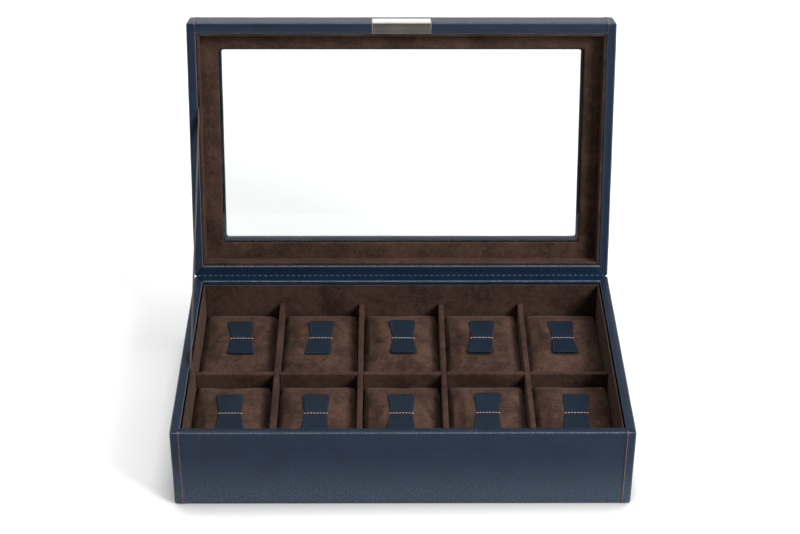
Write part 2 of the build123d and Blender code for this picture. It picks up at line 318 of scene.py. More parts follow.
def leather_material(name, settings, dye, size=1.0, gloss=(0.28, 0.42), shine=0.22):
    """Navy cowhide with a pressed cross grain under a thin satin finish.

    The plate that prints it leaves fine slanting ridges both ways, so light breaks up into short diagonal
    glints, most of all where the leather turns over an edge. Where the wear attribute is high, the
    worn_and_sheen colour is mixed in paler: partly rubbed folds and cut edges, partly painted highlights along
    rolled edges and a painted reflection of the floor at the foot. size widens the grain, gloss is the finish's
    roughness where it is smoothest and dullest, and shine how much it mirrors.
    """
    material, tree = opened_material(name)
    surface = add(tree, "ShaderNodeUVMap", uv_map="surface")
    wave = {"Scale": WAVE_LENGTH / (settings.grain * size), "Distortion": 1.6}
    wave |= {"Detail": 2.0, "Detail Scale": 1.4}
    ridges = []
    for angle in (45, -45):
        turned = add(tree, "ShaderNodeMapping", {"Vector": surface, "Rotation": (0, 0, radians(angle))})
        lines = add(tree, "ShaderNodeTexWave", {"Vector": turned, **wave}, bands_direction="X")
        ridges.append(lines.outputs[WAVE_HEIGHT])
    crossed = add(tree, "ShaderNodeMath", {0: ridges[0], 1: ridges[1]}, operation="MAXIMUM")
    # Pores and hair cells of the hide, about 0.7 mm across
    pores = add(tree, "ShaderNodeTexVoronoi", {"Vector": surface, "Scale": 1 / (0.7 * MM)})
    # Uneven dye in clouds of about 25 mm
    clouds = add(tree, "ShaderNodeTexNoise", {"Vector": surface, "Scale": 1 / (25 * MM), "Detail": 3.0})
    cloudy = add(tree, "ShaderNodeMapRange", {"Value": clouds, "From Min": 0.3, "From Max": 0.7})
    shade = add(
        tree,
        "ShaderNodeMix",
        {SHARE: cloudy, COLOUR_A: shaded(dye, 0.86), COLOUR_B: shaded(dye, 1.16)},
        data_type="RGBA",
    )
    # The grain's valleys are drawn darker
    darker_in_valleys = add(
        tree,
        "ShaderNodeMapRange",
        {"Value": crossed, "From Min": 0.2, "From Max": 0.9, "To Min": 0.7, "To Max": 0.0},
    )
    ridged = add(
        tree,
        "ShaderNodeMix",
        {SHARE: darker_in_valleys, COLOUR_A: shade.outputs[MIXED_COLOUR], COLOUR_B: (0.3, 0.3, 0.34, 1.0)},
        data_type="RGBA",
        blend_type="MULTIPLY",
    )
    # Specks of the finish, about 1.3 mm, break up the paler worn_and_sheen colour where the wear attribute is
    # high: rubbed folds, painted highlights and a painted reflection of the floor
    specks = add(tree, "ShaderNodeTexNoise", {"Vector": surface, "Scale": 1 / (1.3 * MM), "Detail": 2.0})
    wear = add(tree, "ShaderNodeAttribute", attribute_name="wear")
    patchy = add(
        tree,
        "ShaderNodeMapRange",
        {"Value": specks, "From Min": 0.35, "From Max": 0.7, "To Min": 0.15, "To Max": 0.75},
    )
    rubbed = add(tree, "ShaderNodeMath", {0: wear.outputs["Fac"], 1: patchy}, operation="MULTIPLY")
    finish = add(
        tree,
        "ShaderNodeMix",
        {SHARE: rubbed, COLOUR_A: ridged.outputs[MIXED_COLOUR], COLOUR_B: shaded(settings.worn_and_sheen)},
        data_type="RGBA",
    )
    rough = add(
        tree,
        "ShaderNodeMapRange",
        {"Value": specks, "From Min": 0.3, "From Max": 0.7, "To Min": gloss[0], "To Max": gloss[1]},
    )
    pressed = add(tree, "ShaderNodeBump", {"Height": crossed, "Strength": 1.0, "Distance": 0.34 * MM})
    porous = add(
        tree, "ShaderNodeBump", {"Height": pores, "Strength": 0.35, "Distance": 0.06 * MM, "Normal": pressed}
    )
    inputs = {
        "Base Color": finish.outputs[MIXED_COLOUR],
        "Roughness": rough,
        "IOR": 1.5,
        "Specular IOR Level": shine,
        "Normal": porous,
    }
    return closed_material(material, inputs)


def suede_material(name, dark, light):
    """Microfibre suede, brushed by hand: short upright fibres with a soft bloom at grazing angles.

    Where the nap lies one way or the other it looks darker or lighter, in patches with soft borders.
    """
    material, tree = opened_material(name)
    place = add(tree, "ShaderNodeTexCoord").outputs["Object"]
    # Nap brushed over in patches of about 26 mm, streaked by finer strokes of about 5 mm
    patches = add(
        tree,
        "ShaderNodeTexNoise",
        {"Vector": place, "Scale": 1 / (26 * MM), "Detail": 4.0, "Roughness": 0.6, "Distortion": 0.4},
    )
    strokes = add(
        tree,
        "ShaderNodeTexNoise",
        {"Vector": place, "Scale": 1 / (5 * MM), "Detail": 3.0, "Roughness": 0.65, "Distortion": 1.2},
    )
    # Fibres are 0.1 mm, drawn as 0.9 mm tufts so that they show
    fibres = add(
        tree, "ShaderNodeTexNoise", {"Vector": place, "Scale": 1 / (0.9 * MM), "Detail": 3.0, "Roughness": 0.7}
    )
    brushed = add(tree, "ShaderNodeMix", {SHARE: 0.45, NUMBER_A: patches, NUMBER_B: strokes}, data_type="FLOAT")
    tufted = add(tree, "ShaderNodeMix", {SHARE: 0.28, NUMBER_A: brushed, NUMBER_B: fibres}, data_type="FLOAT")
    nap = add(
        tree,
        "ShaderNodeMapRange",
        {"Value": tufted, "From Min": 0.39, "From Max": 0.61},
        interpolation_type="SMOOTHSTEP",
    )
    colour = add(
        tree, "ShaderNodeMix", {SHARE: nap, COLOUR_A: shaded(dark), COLOUR_B: shaded(light)}, data_type="RGBA"
    )
    rough = add(tree, "ShaderNodeMapRange", {"Value": fibres, "To Min": 0.82, "To Max": 1.0})
    stroked = add(tree, "ShaderNodeBump", {"Height": strokes, "Strength": 0.3, "Distance": 0.35 * MM})
    raised = add(
        tree, "ShaderNodeBump", {"Height": fibres, "Strength": 0.55, "Distance": 0.2 * MM, "Normal": stroked}
    )
    inputs = {
        "Base Color": colour.outputs[MIXED_COLOUR],
        "Roughness": rough,
        "Specular IOR Level": 0.12,
        "Sheen Weight": 0.12,
        "Sheen Roughness": 0.45,
        "Sheen Tint": shaded(linear("#c8a996")),
        "Normal": raised,
    }
    return closed_material(material, inputs)


def thread_material(name, dye):
    """Bonded polyester sewing thread, twisted from three plies, with a slight lustre."""
    material, tree = opened_material(name)
    place = add(tree, "ShaderNodeTexCoord").outputs["Object"]
    # The plies cross a stitch about every 0.4 mm
    turned = add(tree, "ShaderNodeMapping", {"Vector": place, "Rotation": (0.6, 0.5, 0.7)})
    wave = {"Vector": turned, "Scale": WAVE_LENGTH / (0.4 * MM), "Distortion": 1.0}
    plies = add(tree, "ShaderNodeTexWave", wave, bands_direction="DIAGONAL").outputs[WAVE_HEIGHT]
    wear = add(tree, "ShaderNodeTexNoise", {"Vector": place, "Scale": 1 / (6 * MM)})
    shade = add(
        tree,
        "ShaderNodeMix",
        {SHARE: plies, COLOUR_A: shaded(dye, 0.62), COLOUR_B: shaded(dye, 1.12)},
        data_type="RGBA",
    )
    inputs = {
        "Base Color": shade.outputs[MIXED_COLOUR],
        "Roughness": add(tree, "ShaderNodeMapRange", {"Value": wear, "To Min": 0.5, "To Max": 0.8}),
        "Sheen Weight": 0.3,
        "Sheen Roughness": 0.4,
        "Normal": add(tree, "ShaderNodeBump", {"Height": plies, "Strength": 0.5, "Distance": 0.08 * MM}),
    }
    return closed_material(material, inputs)


def ribbon_material(settings):
    """Grosgrain ribbon: cross ribs of a thick weft under a fine warp, a little shiny along each rib."""
    material, tree = opened_material("grosgrain_ribbon_brown")
    surface = add(tree, "ShaderNodeUVMap", uv_map="surface")
    # Ribs every 0.8 mm, warp threads every 0.45 mm
    threads = []
    for pitch, distortion, direction in ((0.8 * MM, 0.4, "X"), (0.45 * MM, 0.2, "Y")):
        wave = {"Vector": surface, "Scale": WAVE_LENGTH / pitch, "Distortion": distortion}
        lines = add(tree, "ShaderNodeTexWave", wave, bands_direction=direction)
        threads.append(lines.outputs[WAVE_HEIGHT])
    ribs, warp = threads
    uneven = add(tree, "ShaderNodeTexNoise", {"Vector": surface, "Scale": 1 / (7 * MM), "Detail": 2.0})
    woven = add(tree, "ShaderNodeMath", {0: ribs, 1: warp}, operation="MULTIPLY")
    dyed = add(tree, "ShaderNodeMix", {SHARE: 0.35, NUMBER_A: woven, NUMBER_B: uneven}, data_type="FLOAT")
    dye = settings.colour
    shade = add(
        tree,
        "ShaderNodeMix",
        {SHARE: dyed, COLOUR_A: shaded(dye, 0.6), COLOUR_B: shaded(dye, 1.5)},
        data_type="RGBA",
    )
    inputs = {
        "Base Color": shade.outputs[MIXED_COLOUR],
        "Roughness": add(tree, "ShaderNodeMapRange", {"Value": ribs, "To Min": 0.75, "To Max": 0.5}),
        "Sheen Weight": 0.1,
        "Normal": add(tree, "ShaderNodeBump", {"Height": woven, "Strength": 0.6, "Distance": 0.15 * MM}),
    }
    return closed_material(material, inputs)


def nickel_material(name, colour, gloss, grain):
    """Nickel plate over pressed steel, brushed along its length, then lacquered: soft streaked reflections."""
    material, tree = opened_material(name)
    place = add(tree, "ShaderNodeTexCoord").outputs["Object"]
    # Brush lines of a 400 grit belt, drawn about 0.3 mm wide and 30 mm long so that they show
    stretched = add(
        tree, "ShaderNodeMapping", {"Vector": place, "Scale": (1 / (30 * MM), 1 / grain, 1 / grain)}
    )
    lines = add(
        tree, "ShaderNodeTexNoise", {"Vector": stretched, "Scale": 1.0, "Detail": 3.0, "Roughness": 0.6}
    )
    smudges = add(tree, "ShaderNodeTexNoise", {"Vector": place, "Scale": 1 / (12 * MM), "Detail": 3.0})
    tint = add(
        tree,
        "ShaderNodeMix",
        {SHARE: lines, COLOUR_A: shaded(colour, 0.88), COLOUR_B: shaded(colour)},
        data_type="RGBA",
    )
    handled = add(tree, "ShaderNodeMix", {SHARE: 0.45, NUMBER_A: lines, NUMBER_B: smudges}, data_type="FLOAT")
    rough = add(
        tree,
        "ShaderNodeMapRange",
        {"Value": handled, "From Min": 0.3, "From Max": 0.7, "To Min": gloss[0], "To Max": gloss[1]},
    )
    inputs = {
        "Base Color": tint.outputs[MIXED_COLOUR],
        "Metallic": 1.0,
        "Roughness": rough,
        "Normal": add(tree, "ShaderNodeBump", {"Height": lines, "Strength": 0.12, "Distance": 0.03 * MM}),
    }
    return closed_material(material, inputs)


def fibreboard_material():
    """Medium-density fibreboard: pressed wood flour, matt, with short darker fibres."""
    material, tree = opened_material("fibreboard_pressed")
    place = add(tree, "ShaderNodeTexCoord").outputs["Object"]
    # Fibre bundles 3 mm long and 0.4 mm wide, and flour of 0.5 mm
    drawn_out = (1 / (3 * MM), 1 / (0.4 * MM), 1 / (0.4 * MM))
    stretched = add(tree, "ShaderNodeMapping", {"Vector": place, "Scale": drawn_out})
    bundles = add(tree, "ShaderNodeTexNoise", {"Vector": stretched, "Scale": 1.0, "Detail": 2.0})
    flour = add(tree, "ShaderNodeTexNoise", {"Vector": place, "Scale": 1 / (0.5 * MM), "Detail": 3.0})
    pressed = add(tree, "ShaderNodeMix", {SHARE: 0.5, NUMBER_A: bundles, NUMBER_B: flour}, data_type="FLOAT")
    shade = add(
        tree,
        "ShaderNodeMix",
        {SHARE: pressed, COLOUR_A: shaded(linear("#7d6243")), COLOUR_B: shaded(linear("#b59468"))},
        data_type="RGBA",
    )
    inputs = {
        "Base Color": shade.outputs[MIXED_COLOUR],
        "Roughness": add(tree, "ShaderNodeMapRange", {"Value": flour, "To Min": 0.8, "To Max": 0.95}),
        "Normal": add(tree, "ShaderNodeBump", {"Height": pressed, "Strength": 0.4, "Distance": 0.1 * MM}),
    }
    return closed_material(material, inputs)


def base_felt_material():
    """Needled felt under the box: matted black-brown wool fibres that swallow light."""
    material, tree = opened_material("needled_felt_black")
    place = add(tree, "ShaderNodeTexCoord").outputs["Object"]
    # Matted tufts of about 2 mm, and fibres of 0.3 mm drawn as 0.6 mm so that they show
    tufts = add(
        tree, "ShaderNodeTexNoise", {"Vector": place, "Scale": 1 / (2 * MM), "Detail": 4.0, "Distortion": 1.5}
    )
    fibres = add(tree, "ShaderNodeTexVoronoi", {"Vector": place, "Scale": 1 / (0.6 * MM)})
    shade = add(
        tree,
        "ShaderNodeMix",
        {SHARE: tufts, COLOUR_A: shaded(linear("#171412")), COLOUR_B: shaded(linear("#332d29"))},
        data_type="RGBA",
    )
    matted = add(tree, "ShaderNodeMix", {SHARE: 0.4, NUMBER_A: tufts, NUMBER_B: fibres}, data_type="FLOAT")
    inputs = {
        "Base Color": shade.outputs[MIXED_COLOUR],
        "Roughness": add(tree, "ShaderNodeMapRange", {"Value": tufts, "To Min": 0.88, "To Max": 1.0}),
        "Sheen Weight": 0.4,
        "Normal": add(tree, "ShaderNodeBump", {"Height": matted, "Strength": 0.7, "Distance": 0.25 * MM}),
    }
    return closed_material(material, inputs)


def glass_material():
    """Float glass with ground edges: clear, with a faint green in its depth and a trace of dust."""
    material, tree = opened_material("float_glass_clear")
    place = add(tree, "ShaderNodeTexCoord").outputs["Object"]
    # Dust and wipe marks in drifts of about 40 mm
    drifts = add(tree, "ShaderNodeTexNoise", {"Vector": place, "Scale": 1 / (40 * MM), "Detail": 4.0})
    rough = add(
        tree,
        "ShaderNodeMapRange",
        {"Value": drifts, "From Min": 0.45, "From Max": 0.8, "To Min": 0.0, "To Max": 0.05},
    )
    tint = add(
        tree,
        "ShaderNodeMix",
        {SHARE: drifts, COLOUR_A: shaded(linear("#fcfefd")), COLOUR_B: shaded(linear("#f6faf8"))},
        data_type="RGBA",
    )
    inputs = {
        "Base Color": tint.outputs[MIXED_COLOUR],
        "Roughness": rough,
        "IOR": 1.5,
        "Transmission Weight": 1.0,
        "Normal": add(tree, "ShaderNodeBump", {"Height": drifts, "Strength": 0.02, "Distance": 0.02 * MM}),
    }
    return closed_material(material, inputs)


def floor_material(colour):
    """Matt white seamless paper, lit evenly enough to read as plain white away from the box."""
    material, tree = opened_material("backdrop_paper_white")
    place = add(tree, "ShaderNodeTexCoord").outputs["Object"]
    tooth = add(tree, "ShaderNodeTexNoise", {"Vector": place, "Scale": 1 / (4 * MM), "Detail": 2.0})
    shade = add(
        tree,
        "ShaderNodeMix",
        {SHARE: tooth, COLOUR_A: shaded(colour, 0.985), COLOUR_B: shaded(colour)},
        data_type="RGBA",
    )
    # Painted contact shadow: within 22 mm of the box, ambient occlusion darkens the paper's colour and its glow
    painted_contact_shadow = add(
        tree,
        "ShaderNodeAmbientOcclusion",
        {"Color": shade.outputs[MIXED_COLOUR], "Distance": 22 * MM},
        samples=12,
    )
    inputs = {
        "Base Color": painted_contact_shadow,
        "Roughness": 0.9,
        "Specular IOR Level": 0.0,
        "Emission Color": painted_contact_shadow,
        "Emission Strength": 0.62,
    }
    return closed_material(material, inputs)


def shared(make, name, *values):
    """A material by its name, made on its first use."""
    return bpy.data.materials.get(name) or make(name, *values)


def navy(context):
    settings = context.scene.watch_box_leather
    return shared(leather_material, "crossgrain_leather_navy", settings, settings.colour)


def hinge_navy(context):
    """The hinge's leather is softer and less finished, so that it bends, and its grain is coarser."""
    settings = context.scene.watch_box_leather
    return shared(leather_material, "soft_leather_navy", settings, settings.hinge_colour, 1.5, (0.4, 0.55), 0.1)


def tab_navy(context):
    """The tabs' leather is smoother and duller."""
    settings = context.scene.watch_box_leather
    return shared(leather_material, "smooth_leather_navy", settings, settings.tab_colour, 0.6, (0.5, 0.62))


def suede_on(kind, context):
    """The suede of the boards, the dividers or the cushions."""
    settings = context.scene.watch_box_suede
    dark, light = (getattr(settings, f"{kind}_{nap}") for nap in ("dark", "light"))
    return shared(suede_material, f"brushed_suede_on_{kind}", dark, light)


# Meshes


def volume(points, faces):
    """Signed volume inside a closed surface: below zero where its faces point inwards."""
    total = 0.0
    for face in faces:
        for i in range(1, len(face) - 1):
            a, b, c = points[face[0]], points[face[i]], points[face[i + 1]]
            total += float(np.dot(a, np.cross(b, c)))
    return total / 6


def new_piece(name, points, faces, matrix, material, surface=None, wear=None):
    """A closed mesh whose faces point outwards, placed by matrix, with its object at the origin.

    surface holds, for each face, where its corners lie on the flat leather or cloth, and wear is a
    number for each point, for rubbed wear and painted highlight.
    """
    points = np.array([tuple(matrix @ Vector(p)) for p in points], float)
    if volume(points, faces) < 0:
        faces = [tuple(reversed(face)) for face in faces]
        surface = surface and [tuple(reversed(corners)) for corners in surface]
    mesh = bpy.data.meshes.new(name)
    mesh.from_pydata(points.tolist(), [], faces)
    if surface:
        layer = mesh.uv_layers.new(name="surface")
        layer.data.foreach_set("uv", np.array([c for corners in surface for c in corners], float).ravel())
    if wear is not None:
        mesh.attributes.new("wear", "FLOAT", "POINT").data.foreach_set("value", np.array(wear, float))
    mesh.polygons.foreach_set("use_smooth", [True] * len(faces))
    mesh.materials.append(material)
    mesh.validate()
    mesh.update()
    piece = bpy.data.objects.new(name, mesh)
    bpy.context.scene.collection.objects.link(piece)
    return piece


def plain_mesh(piece):
    """Works the piece's modifiers out into a plain mesh."""
    bpy.context.view_layer.update()
    graph = bpy.context.evaluated_depsgraph_get()
    mesh = bpy.data.meshes.new_from_object(piece.evaluated_get(graph), depsgraph=graph)
    old = piece.data
    piece.modifiers.clear()
    piece.data = mesh
    mesh.name = piece.name
    if old.users == 0:
        bpy.data.meshes.remove(old)


def ring_faces(rings, count, closed=False):
    """Faces between rings of points, and between the last and the first where the rings close up."""
    faces = []
    for i in range(rings if closed else rings - 1):
        after = (i + 1) % rings
        for j in range(count):
            k = (j + 1) % count
            faces.append((i * count + j, i * count + k, after * count + k, after * count + j))
    return faces


def sheet_faces(rows, columns):
    """Faces of a thick sheet, whose points are its top's, row by row, and then its underside's."""
    under = rows * columns
    faces = []
    for i in range(rows - 1):
        for j in range(columns - 1):
            a = i * columns + j
            top = (a, a + 1, a + columns + 1, a + columns)
            faces += [top, tuple(k + under for k in reversed(top))]
        for j, turned in ((0, False), (columns - 1, True)):
            a = i * columns + j
            wall = (a, a + columns, a + columns + under, a + under)
            faces.append(tuple(reversed(wall)) if turned else wall)
    for i, turned in ((0, True), (rows - 1, False)):
        for j in range(columns - 1):
            a = i * columns + j
            wall = (a, a + 1, a + 1 + under, a + under)
            faces.append(tuple(reversed(wall)) if turned else wall)
    return faces


def marks(low, high, radius, step):
    """Places of a board's grid lines along one axis, close together where its edges are rounded."""
    near = [0, 0.3 * radius, 0.65 * radius, radius]
    if high - low > 2 * radius + 1.2 * MM:
        near.append(radius + 0.4 * MM)
    inner = high - low - 2 * near[-1]
    count = max(1, round(inner / step))
    middle = [low + near[-1] + inner * i / count for i in range(1, count)]
    return [low + x for x in near] + middle + [high - x for x in reversed(near)]


def rounded_board(low, high, radius, step=12 * MM):
    """Points and faces of a board with rounded edges, between two corners."""
    radius = min(radius, 0.49 * min(h - l for l, h in zip(low, high)))
    axes = [marks(low[i], high[i], radius, step) for i in range(3)]
    inner_low = np.array(low) + radius
    inner_high = np.array(high) - radius
    points, places, faces = [], {}, []

    def corner(index):
        if index not in places:
            flat = np.array([axes[i][index[i]] for i in range(3)])
            core = np.clip(flat, inner_low, inner_high)
            away = flat - core
            places[index] = len(points)
            points.append(core + away * radius / np.linalg.norm(away))
        return places[index]

    for axis in range(3):
        across, along = (axis + 1) % 3, (axis + 2) % 3
        for end in (0, len(axes[axis]) - 1):
            for i in range(len(axes[across]) - 1):
                for j in range(len(axes[along]) - 1):
                    square = []
                    for di, dj in ((0, 0), (1, 0), (1, 1), (0, 1)):
                        index = [0, 0, 0]
                        index[axis], index[across], index[along] = end, i + di, j + dj
                        square.append(corner(tuple(index)))
                    faces.append(tuple(square if end else reversed(square)))
    return points, faces


def suede_board(node, low, high, matrix, body, radius, suede, pocketed=False):
    """A rounded, suede-covered board that stands for a CAD node."""
    points, faces = rounded_board(low, high, radius)
    piece = new_piece(f"{node}_suede", points, faces, matrix, suede)
    if pocketed:
        cut_pocket(piece)
    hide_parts(node)
    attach(piece, body)


# Leather shells: turns of leather round a rounded rectangle, joined into one closed skin

# The way out of each side of the box, and the way along it
SIDES = (
    (Vector((0, -1)), Vector((1, 0))),
    (Vector((1, 0)), Vector((0, 1))),
    (Vector((0, 1)), Vector((-1, 0))),
    (Vector((-1, 0)), Vector((0, -1))),
)
SIDE_STEPS = 26
NEAR_CORNER = (0.35 * MM, 0.9 * MM, 1.8 * MM, 3.4 * MM, 6.0 * MM)
# Share of the way from a corner to a front seam, and how far the folded edge is raised there
FOLD_MARKS = ((0.0, 0.0), (0.2, 0.05), (0.45, 0.3), (0.7, 0.8), (0.86, 1.0), (0.96, 0.95), (1.0, 0.65))
PAST_SEAM = (0.12 * MM, 0.6 * MM, 1.6 * MM, 4.0 * MM)
# How far the leather swells past the box on the sides, front and back
SWELL = (0.8 * MM, 0.45 * MM, 0.8 * MM)
# How far apart two sides' grain starts
GRAIN_SHIFT = 0.4
# The leather's thickness where it is turned in, and the corner radius where it is mitred
SKIN = 0.8 * MM
SHARP = 0.2 * MM
# A turn is a rectangle's corners, its height and corner radius, which way its leather faces, outwards and up,
# and shares of the seam's fold, the mitre's crease, the unevenness and the worn_and_sheen colour, which paints
# rubbed folds, highlights and the floor's reflection. A flat one is on a level top.
PLAIN_TURN = {"out": 0.0, "up": 0.0, "seam": 0.0, "mitre": 0.0, "wave": 1.0, "wear": 0.0, "flat": False}


def turn_of(low, high, z, corner=SHARP, **look):
    """One turn of leather. look holds what differs from a plain turn."""
    return {**PLAIN_TURN, "low": low, "high": high, "z": z, "corner": corner, **look}


def rolled(start, end, bulge_from):
    """Turns over a rolled edge: start and end are the turns on either side of the quarter circle.

    bulge_from is "rim" where the circle leaves start sideways along its wall, and "wall" otherwise.
    """
    made = []
    for angle in QUARTER:
        a = radians(angle)
        wide, high = (1 - cos(a), sin(a)) if bulge_from == "wall" else (sin(a), 1 - cos(a))
        turn = dict(end)
        for key in ("low", "high"):
            turn[key] = mixed(start[key], end[key], wide)
        turn["z"] = start["z"] + (end["z"] - start["z"]) * high
        for key in ("corner", "out", "up", "seam", "mitre"):
            turn[key] = start[key] + (end[key] - start[key]) * sin(a) ** 2
        # Painted highlight along the middle of each roll, in the worn_and_sheen colour
        turn["wear"] = sin(2 * a) ** 8
        made.append(turn)
    return made


def side_stations(front):
    """Grid lines along a side: share of its length, share of the seam's distance, offset, raised fold."""
    if front:
        half = [(0, share, 0.0, fold) for share, fold in FOLD_MARKS]
        half += [(0, 1.0, past, 0.0) for past in PAST_SEAM]
    else:
        half = [(0, 0.0, near, 0.0) for near in (0.0, *NEAR_CORNER)]
    middle = [(i / SIDE_STEPS, 0.0, 0.0, 0.0) for i in range(2, SIDE_STEPS - 1)]
    mirrored = [(1, -share, -offset, fold) for _, share, offset, fold in reversed(half)]
    return half + middle + mirrored


def ripple(point, height):
    """Slow unevenness of board and leather, a tenth of a millimetre over a few centimetres."""
    x, y, z = point
    return height * (
        0.5 * sin(118 * x + 61 * z + 0.7) * cos(97 * y - 0.4)
        + 0.3 * sin(203 * y + 151 * z + 2.1)
        + 0.3 * cos(241 * x - 133 * y + 177 * z)
    )


def turn_points(turn, settings):
    """A turn's points in order, raised over its seams and drawn in at its mitres."""
    (x0, y0), (x1, y1) = turn["low"], turn["high"]
    r = turn["corner"]
    starts = (
        (Vector((x0 + r, y0)), x1 - x0 - 2 * r),
        (Vector((x1, y0 + r)), y1 - y0 - 2 * r),
        (Vector((x1 - r, y1)), x1 - x0 - 2 * r),
        (Vector((x0, y1 - r)), y1 - y0 - 2 * r),
    )
    seam = max(0.12 * MM, settings.seam - (BASE_HIGH.x - x1) - r)
    points = []
    for side, (start, length) in enumerate(starts):
        out, along = SIDES[side]
        for share, seam_share, offset, fold in side_stations(side == 0):
            place = start + along * (share * length + seam_share * seam + offset)
            points.append((place, out, turn["seam"] * settings.fold * fold))
        centre = start + along * length - out * r
        next_out = SIDES[(side + 1) % 4][0]
        for angle in QUARTER:
            a = radians(angle)
            way = out * cos(a) + next_out * sin(a)
            crease = 1.0 if angle == 45.0 else 0.55
            points.append((centre + way * r, way, -turn["mitre"] * settings.mitre * crease))
    made = []
    for place, way, rise in points:
        flat_point = Vector((place.x, place.y, turn["z"]))
        lift = rise + turn["wave"] * ripple(flat_point, settings.ripple)
        made.append(flat_point + Vector((way.x * turn["out"], way.y * turn["out"], turn["up"])) * lift)
    return made


def station_sides():
    """The side that each strip of faces along the shell belongs to, a corner's halves shared out."""
    sides = []
    for side in range(4):
        sides += [side] * (len(side_stations(side == 0)) - 1)
        sides += [side, side, (side + 1) % 4, (side + 1) % 4]
    return sides


def shell_surface(turns, rows):
    """Where each face's corners lie on the flat leather, measured along its side and from turn to turn."""
    travel = [0.0]
    for a, b in zip(turns, turns[1:] + turns[:1]):
        travel.append(travel[-1] + Vector((b["low"][1] - a["low"][1], b["z"] - a["z"])).length)
    count = len(rows[0])
    sides = station_sides()
    surface = []
    for i, turn in enumerate(turns):
        after = (i + 1) % len(turns)
        planar = turn["flat"] and turns[after]["flat"]
        for j in range(count):
            k = (j + 1) % count
            along = SIDES[sides[j]][1]
            corners = []
            for row, station, far in ((i, j, 0), (i, k, 0), (after, k, 1), (after, j, 1)):
                p = rows[row][station]
                across = p.x * along.x + p.y * along.y + GRAIN_SHIFT * sides[j]
                corners.append((p.x, p.y) if planar else (across, travel[i + far]))
            surface.append(tuple(corners))
    return surface


def leather_shell(label, turns, matrix, context):
    """One closed skin of the base or the lid from its turns, the last joined to the first."""
    rows = [turn_points(turn, context.scene.watch_box_leather) for turn in turns]
    count = len(rows[0])
    points = [p for row in rows for p in row]
    wear = [turn["wear"] for turn in turns for _ in range(count)]
    faces = ring_faces(len(rows), count, closed=True)
    surface = shell_surface(turns, rows)
    piece = new_piece(f"{label}_leather", points, faces, matrix, navy(context), surface, wear)
    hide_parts(f"{label}_cover_front", f"{label}_cover_wrap")
    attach(piece, label)


def inset(distance, share, walls):
    """Corners of the box's outline drawn in by a distance and a share of each wall's thickness.

    On the outside, the leather swells a little past the frame's box.
    """
    side, front, back = (distance + share * wall - (1 - share) * out for wall, out in zip(walls, SWELL))
    return (BASE_LOW.x + side, BASE_LOW.y + front), (BASE_HIGH.x - side, BASE_HIGH.y - back)


def wall_turns(walls, height, settings, seam_floor, painted_foot_reflection):
    """Turns up the outside of the walls, over the rim and down inside.

    seam_floor is how much of the seam's fold is left at the foot, and painted_foot_reflection how much paler
    the walls are painted towards the foot, as a painted reflection of the floor.
    """
    roll, corner, puff = settings.roll, settings.corner, settings.puff
    inner_roll = 0.8 * roll
    flat = 0.5 * MM
    drop, board_top, board_corner = 10 * MM, height - 1.1 * MM, 0.6 * MM

    def turn(distance, share, z, radius=SHARP, **look):
        return turn_of(*inset(distance, share, walls), z, radius, **look)

    turns = [turn(0, 0, roll, corner, out=1, seam=seam_floor, wear=painted_foot_reflection)]
    levels = spread(roll + 6 * MM, height - roll - 6 * MM, max(2, round(height / (9 * MM))))
    for z in (roll + flat, *levels, height - roll - flat):
        # Painted reflection of the floor: paler towards the foot, fading out by 48 mm up
        painted_reflection = painted_foot_reflection * max(0.0, 1 - z / (48 * MM)) ** 1.5
        turns.append(turn(0, 0, z, corner, out=1, seam=1, wear=painted_reflection))
    brow = turn(0, 0, height - roll, corner, out=1, seam=1)
    rim = turn(roll, 0, height, 0.25 * MM, up=1, seam=1, mitre=1)
    turns += [brow, *rolled(brow, rim, "wall"), rim]
    for distance, share, raised in ((roll + flat, 0, 0.4), (0, 0.5, 1), (-inner_roll - flat, 1, 0.4)):
        turns.append(turn(distance, share, height + raised * puff, up=1, seam=1, mitre=1))
    lip = turn(-inner_roll, 1, height, up=1, seam=0.8, mitre=1)
    inside = turn(0, 1, height - inner_roll, out=-1)
    turns += [lip, *rolled(lip, inside, "rim"), inside, turn(0, 1, height - inner_roll - 0.4 * MM, out=-1)]
    # Down to the turned-in end, and back behind the skin to the foot
    turns += [turn(0, 1, height - drop, wave=0), turn(-SKIN, 1, height - drop, wave=0)]
    turns.append(turn(-SKIN, 1, board_top, wave=0))
    turns += [turn(SKIN, 0, z, board_corner, wave=0) for z in (board_top, SKIN)]
    return turns


class WATCHBOX_OT_base_leather(bpy.types.Operator):
    """Leather over the base's walls and rim, turned in under the bottom, with two front seams"""

    bl_idname = "watch_box.base_leather"
    bl_label = "Base leather"

    def execute(self, context):
        settings = context.scene.watch_box_leather
        walls = walls_of("base", BASE)
        turn_in = 9 * MM
        turns = [
            turn_of(*inset(turn_in, 0, walls), SKIN, wave=0),
            turn_of(*inset(turn_in, 0, walls), 0.0, up=-1, wave=0),
            turn_of(*inset(4 * MM, 0, walls), 0.0, up=-1, wave=0),
        ]
        edge = turn_of(*inset(settings.roll, 0, walls), 0.0, settings.corner - 0.3 * MM, up=-1, wave=0)
        # 0.45: the base's walls are painted paler towards the foot, as a painted reflection of the floor
        wall = wall_turns(walls, BASE_HIGH.z, settings, 1, 0.45)
        turns += [edge, *rolled(edge, wall[0], "rim")] + wall
        leather_shell("base", turns, BASE, context)
        return {"FINISHED"}


def window_corners():
    """Corners of the opening in the lid's leather, from the glass that laps it by 6 mm all round."""
    low, high = box_in("window_glass", LID)
    lap = 6 * MM
    return (low.x + lap, low.y + lap), (high.x - lap, high.y - lap)


